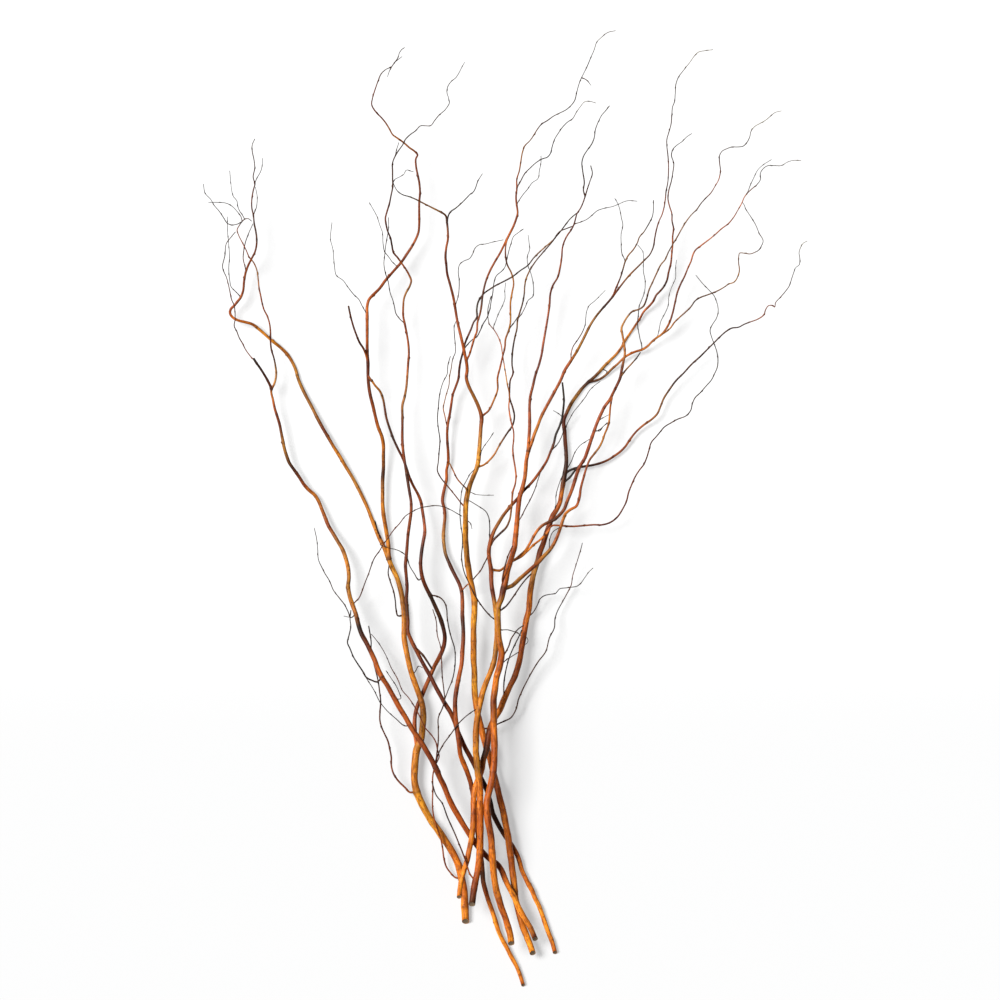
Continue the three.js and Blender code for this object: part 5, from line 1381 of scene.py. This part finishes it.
class Wire:
    """A socket's value, for use in expressions."""

    def __init__(self, finish, socket):
        self.finish = finish
        self.socket = socket

    def __add__(self, other):
        return self.finish.math("ADD", self, other)

    __radd__ = __add__

    def __sub__(self, other):
        return self.finish.math("SUBTRACT", self, other)

    def __rsub__(self, other):
        return self.finish.math("SUBTRACT", other, self)

    def __mul__(self, other):
        return self.finish.math("MULTIPLY", self, other)

    __rmul__ = __mul__

    def between(self, low, high):
        """0 at low, 1 at high, smooth in between."""
        settings = {"interpolation_type": "SMOOTHSTEP", "clamp": True}
        inputs = {"Value": self, "From Min": low, "From Max": high}
        return self.finish.node("ShaderNodeMapRange", settings, inputs)


class Finish:
    """A material, its shader and the nodes that feed it."""

    def __init__(self, name):
        self.material = bpy.data.materials.new(name)
        self.material.use_nodes = True
        self.tree = self.material.node_tree
        self.shader = self.tree.nodes["Principled BSDF"]

    def node(self, kind, settings, inputs, output=0):
        """Adds a node: its settings first, then the values or links of its sockets."""
        made = self.tree.nodes.new(kind)
        for key, value in settings.items():
            setattr(made, key, value)
        for key, value in inputs.items():
            self.feed(made, key, value)
        return Wire(self, self.pick(made.outputs, output))

    def pick(self, sockets, key):
        """The socket with that place or identifier, or else that name."""
        if isinstance(key, int):
            return sockets[key]
        return next((s for s in sockets if s.identifier == key), None) or sockets[key]

    def feed(self, made, key, value):
        """Links a wire to a socket, or sets the socket's own value."""
        socket = self.pick(made.inputs, key)
        if isinstance(value, Wire):
            self.tree.links.new(value.socket, socket)
        else:
            socket.default_value = value

    def math(self, operation, *values):
        """One step of arithmetic on wires or numbers."""
        return self.node("ShaderNodeMath", {"operation": operation}, dict(enumerate(values)))

    def recall(self, name, output):
        """Reads what the mesh remembers under that name."""
        return self.node("ShaderNodeAttribute", {"attribute_name": name}, {}, output)

    def stretch(self, vector, factors):
        """Scales a vector by a factor each way."""
        return self.node("ShaderNodeVectorMath", {"operation": "MULTIPLY"}, {0: vector, 1: factors})

    def noise(self, vector, scale=1.0, detail=3.0):
        """Cloudy noise between 0 and 1, half of it under 0.5."""
        inputs = {"Vector": vector, "Scale": scale, "Detail": detail, "Roughness": 0.55}
        return self.node("ShaderNodeTexNoise", {}, inputs)

    def blend(self, factor, a, b, how="MIX"):
        """Mixes two colours, a where the factor is 0."""
        settings = {"data_type": "RGBA", "blend_type": how}
        inputs = {"Factor_Float": factor, "A_Color": a, "B_Color": b}
        return self.node("ShaderNodeMix", settings, inputs, "Result_Color")

    def dress(self, colour, roughness, relief, strength, depth):
        """Feeds the shader its colour, its roughness and a relief that is depth mm deep."""
        bump_inputs = {"Height": relief, "Strength": strength, "Distance": depth * MM}
        self.feed(self.shader, "Base Color", colour)
        self.feed(self.shader, "Roughness", roughness)
        self.feed(self.shader, "Normal", self.node("ShaderNodeBump", {}, bump_inputs))


def rgba(rgb):
    """A colour as the photograph shows it, as the finish's own colour."""
    return (*own_colour(rgb), 1.0)


print("wires and finishes are ready")

# %% [markdown]
# ## Bark
# Dried willow bark is thin and smooth with a satin gloss. Up close it has fine lengthwise wrinkles from
# drying, small dark pores, darker buds and scars at the nodes, painted shade round the forks, and broad
# patches where the outer skin is browner or more golden. The golden patches and streaks are brightened
# past the skin's own gold, as painted highlight. All of it is laid out on the straightened run, so that
# wrinkles run along the stem and patches are long in that direction, whatever way it curls.

# %% Make the bark
WRINKLES = (1.3, 1.3, 0.09)  # repeats per mm across, across and along
MOTTLES = (0.4, 0.4, 0.13)
PATCHES = (0.13, 0.13, 0.03)
PORES = (0.24, 0.24, 0.2)
BROWNER = (0.42, 0.28, 0.22, 1)  # what the bark's own colour is multiplied by
WARMER = (1.05, 0.78, 0.6, 1)
# golden skin, brightened past the bark's own gold as painted highlight
GOLD_AND_HIGHLIGHT = (1.7, 1.75, 1.25, 1)
# colour of the dark buds and scars, and of the painted shade round the forks
MARKS_AND_SHADE_COLOUR = (62, 32, 18)
PORE = (70, 34, 18)
BARK_SHINE = 0.15


def bark_finish(name, roughness, weather):
    """Bark of one stem. weather is how brown its mottles are."""
    f = Finish(name)
    straight = f.recall("straight", "Vector")
    marks_and_fork_shade = f.recall("marks_and_fork_shade", "Fac")
    wrinkle = f.noise(f.stretch(straight, WRINKLES), detail=4.0)
    mottle = f.noise(f.stretch(straight, MOTTLES))
    patch = f.noise(f.stretch(straight, PATCHES), detail=2.0)
    pore_cells = {"Vector": f.stretch(straight, PORES), "Scale": 1.0, "Randomness": 1.0}
    pore = 1 - f.node("ShaderNodeTexVoronoi", {}, pore_cells, "Distance").between(0.1, 0.2)
    colour = f.recall("bark_colour", "Color")
    browner, warmer, golden = [f.blend(1.0, colour, tint, "MULTIPLY") for tint in (BROWNER, WARMER, GOLD_AND_HIGHLIGHT)]
    # Where each layer shows, times how strong it is there, and its colour.
    layers = [
        (patch.between(0.42, 0.6) * 0.45, warmer),
        # golden patches: partly the skin's own gold, partly painted highlight
        ((1 - patch).between(0.46, 0.6) * 0.85, golden),
        (mottle.between(0.5, 0.62) * weather, browner),
        (wrinkle.between(0.5, 0.66) * 0.7, browner),
        # golden streaks between wrinkles: partly the skin's own gold, partly painted highlight
        ((1 - wrinkle).between(0.5, 0.68) * 0.5, golden),
        # dark buds and scars at the nodes, and painted shade round the forks
        (marks_and_fork_shade * 0.92, rgba(MARKS_AND_SHADE_COLOUR)),
        (pore * 0.85, rgba(PORE)),
    ]
    for share, shade in layers:
        colour = f.blend(share, colour, shade)
    relief = wrinkle * 0.6 + mottle * 0.3 + marks_and_fork_shade * 0.3 + pore * 0.3
    f.dress(colour, roughness + mottle * 0.2 + marks_and_fork_shade * 0.2, relief, strength=0.9, depth=0.4)
    f.feed(f.shader, "Specular IOR Level", BARK_SHINE)
    return f.material


BARKS = {  # the material's name, its roughness and its weather
    "stem_ochre_forked": ("bark_ochre", 0.36, 0.6),
    "stem_crossing": ("bark_crossing", 0.4, 0.65),
    "stem_slender": ("bark_slender", 0.4, 0.65),
    "stem_golden": ("bark_golden", 0.37, 0.6),
    "stem_far_left": ("bark_far_left", 0.42, 0.7),
    "stem_right": ("bark_right", 0.4, 0.75),
    "stem_olive": ("bark_olive", 0.4, 0.65),
    "stem_top": ("bark_top", 0.37, 0.65),
}
barks = {stem: bark_finish(*settings) for stem, settings in BARKS.items()}
print("barks:", ", ".join(material.name for material in barks.values()))

# %% [markdown]
# ## The cut ends
# A butt was cut with shears and has dried since: the wood is greyish tan, darker in the middle at the
# pith, with faint yearly rings and dirt in the pores. The rings follow from the same straightened place
# as the bark's grain, by distance from the run's centre.

# %% Make the cut wood
WOOD = (172, 142, 104)
YEAR_RING = (132, 104, 74)
PITH = (80, 56, 38)
DIRT = (84, 68, 52)
RING_RATE = 5.2  # radians of the rings' wave for each mm from the centre


def cut_finish():
    """Dried end grain."""
    f = Finish("cut_wood")
    face = f.stretch(f.recall("straight", "Vector"), (1, 1, 0))
    centre = f.node("ShaderNodeVectorMath", {"operation": "LENGTH"}, {0: face}, "Value")
    ring = f.math("SINE", centre * RING_RATE + f.noise(face, scale=1.2) * 1.6)
    grime = f.noise(face, scale=1.3, detail=4.0)
    colour = f.blend(ring.between(-0.4, 1.0) * 0.5, rgba(WOOD), rgba(YEAR_RING))
    colour = f.blend((1 - centre).between(0.1, 0.8), colour, rgba(PITH))
    colour = f.blend(grime.between(0.45, 0.7) * 0.6, colour, rgba(DIRT))
    f.dress(colour, 0.75 + grime * 0.15, grime + ring * 0.4, strength=0.6, depth=0.2)
    return f.material


cut_wood = cut_finish()
print("made", cut_wood.name)

# %% Dress each stem in place of its solid
for name, piece in pieces.items():
    piece.data.materials.append(barks[name])
    piece.data.materials.append(cut_wood)
    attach(piece, "root")
    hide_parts(name)
print("dressed", len(pieces), "stems")

# %% [markdown]
# ## The surface, the light and the camera
# The bunch lies on a plain white sweep. The photograph's shadows fall to the right and are soft, so the
# main light is a broad one high on the left. They are also very pale, though the stems are dark on
# their right sides. A brighter room would pale both. So the sweep glows a little, as a light table does,
# more so towards the tips, and that lifts the shadows only. The camera looks straight down from far off
# with a long lens, which keeps raised tips from spreading.

# %% Lay the floor
FLOOR_SIZE = 8.0
FLOOR_DROP = 0.0003  # keeps the floor clear of the flat spots that lie on it
GLOW = 0.44
BRIGHTER = 1.3  # the glow beyond the neck, against that by the butts
FADE = (-0.3, 0.1)  # where along the bunch the glow rises, in metres
PAPER = (0.265, 0.265, 0.265, 1)
half = FLOOR_SIZE / 2
outline = [(-half, -half), (half, -half), (half, half), (-half, half)]
floor_mesh = bpy.data.meshes.new("floor")
floor_mesh.from_pydata([(x, y, -FLOOR_DROP) for x, y in outline], [], [(0, 1, 2, 3)])
floor = bpy.data.objects.new("floor", floor_mesh)
bpy.context.scene.collection.objects.link(floor)
paper = Finish("white_paper")
paper.feed(paper.shader, "Base Color", PAPER)
paper.feed(paper.shader, "Roughness", 0.95)
paper.feed(paper.shader, "Specular IOR Level", 0.1)
place = paper.node("ShaderNodeTexCoord", {}, {}, "Object")
along = paper.node("ShaderNodeSeparateXYZ", {}, {"Vector": place}, "Y")
glow = paper.blend(along.between(*FADE), (1, 1, 1, 1), (BRIGHTER, BRIGHTER, BRIGHTER, 1))
paper.feed(paper.shader, "Emission Color", glow)
paper.feed(paper.shader, "Emission Strength", GLOW)
floor_mesh.materials.append(paper.material)
floor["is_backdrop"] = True
print("floor", FLOOR_SIZE, "m wide")

# %% Light it
SUN_WAY = Vector((0.62, -0.3, -0.9))
SUN_ENERGY = 7.5
SUN_SPREAD = math.radians(28)  # the wider the light, the softer its shadows
ROOM_COLOUR = (0.97, 0.99, 1.0, 1)
ROOM_STRENGTH = 0.16
sun_data = bpy.data.lights.new("window", "SUN")
sun_data.energy = SUN_ENERGY
sun_data.angle = SUN_SPREAD
sun = bpy.data.objects.new("window", sun_data)
sun.rotation_euler = SUN_WAY.to_track_quat("-Z", "Y").to_euler()
bpy.context.scene.collection.objects.link(sun)
world = bpy.data.worlds.new("room")
world.use_nodes = True
room = world.node_tree.nodes["Background"]
room.inputs["Color"].default_value = ROOM_COLOUR
room.inputs["Strength"].default_value = ROOM_STRENGTH
bpy.context.scene.world = world
bpy.context.scene.view_settings.view_transform = "Standard"
print("sun", SUN_ENERGY, "room", ROOM_STRENGTH)

# %% Set the camera
CAMERA_HEIGHT = 10.0
FRAME_WIDTH = 1.25  # width of the surface that the photograph shows, in metres
STEM_LEVEL = 0.03
SENSOR = 36
FAR = 100
camera_data = bpy.data.cameras.new("camera")
camera_data.sensor_width = SENSOR
camera_data.lens = SENSOR * (CAMERA_HEIGHT - STEM_LEVEL) / FRAME_WIDTH
camera_data.clip_end = FAR
camera = bpy.data.objects.new("camera", camera_data)
camera.location = (-MIDDLE[0] * MM, -MIDDLE[1] * MM, CAMERA_HEIGHT)
bpy.context.scene.collection.objects.link(camera)
bpy.context.scene.camera = camera
print("lens", round(camera_data.lens), "mm")

# %% Print how far the two sizes differ
sizes = {"cad": [list(v) for v in CAD_BOX], "visual": [list(v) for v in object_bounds()]}
for corner, cad, visual in zip(("low", "high"), sizes["cad"], sizes["visual"]):
    apart = [round((b - a) / MM, 1) for a, b in zip(cad, visual)]
    print("size difference at the", corner, "corner:", apart, "mm")
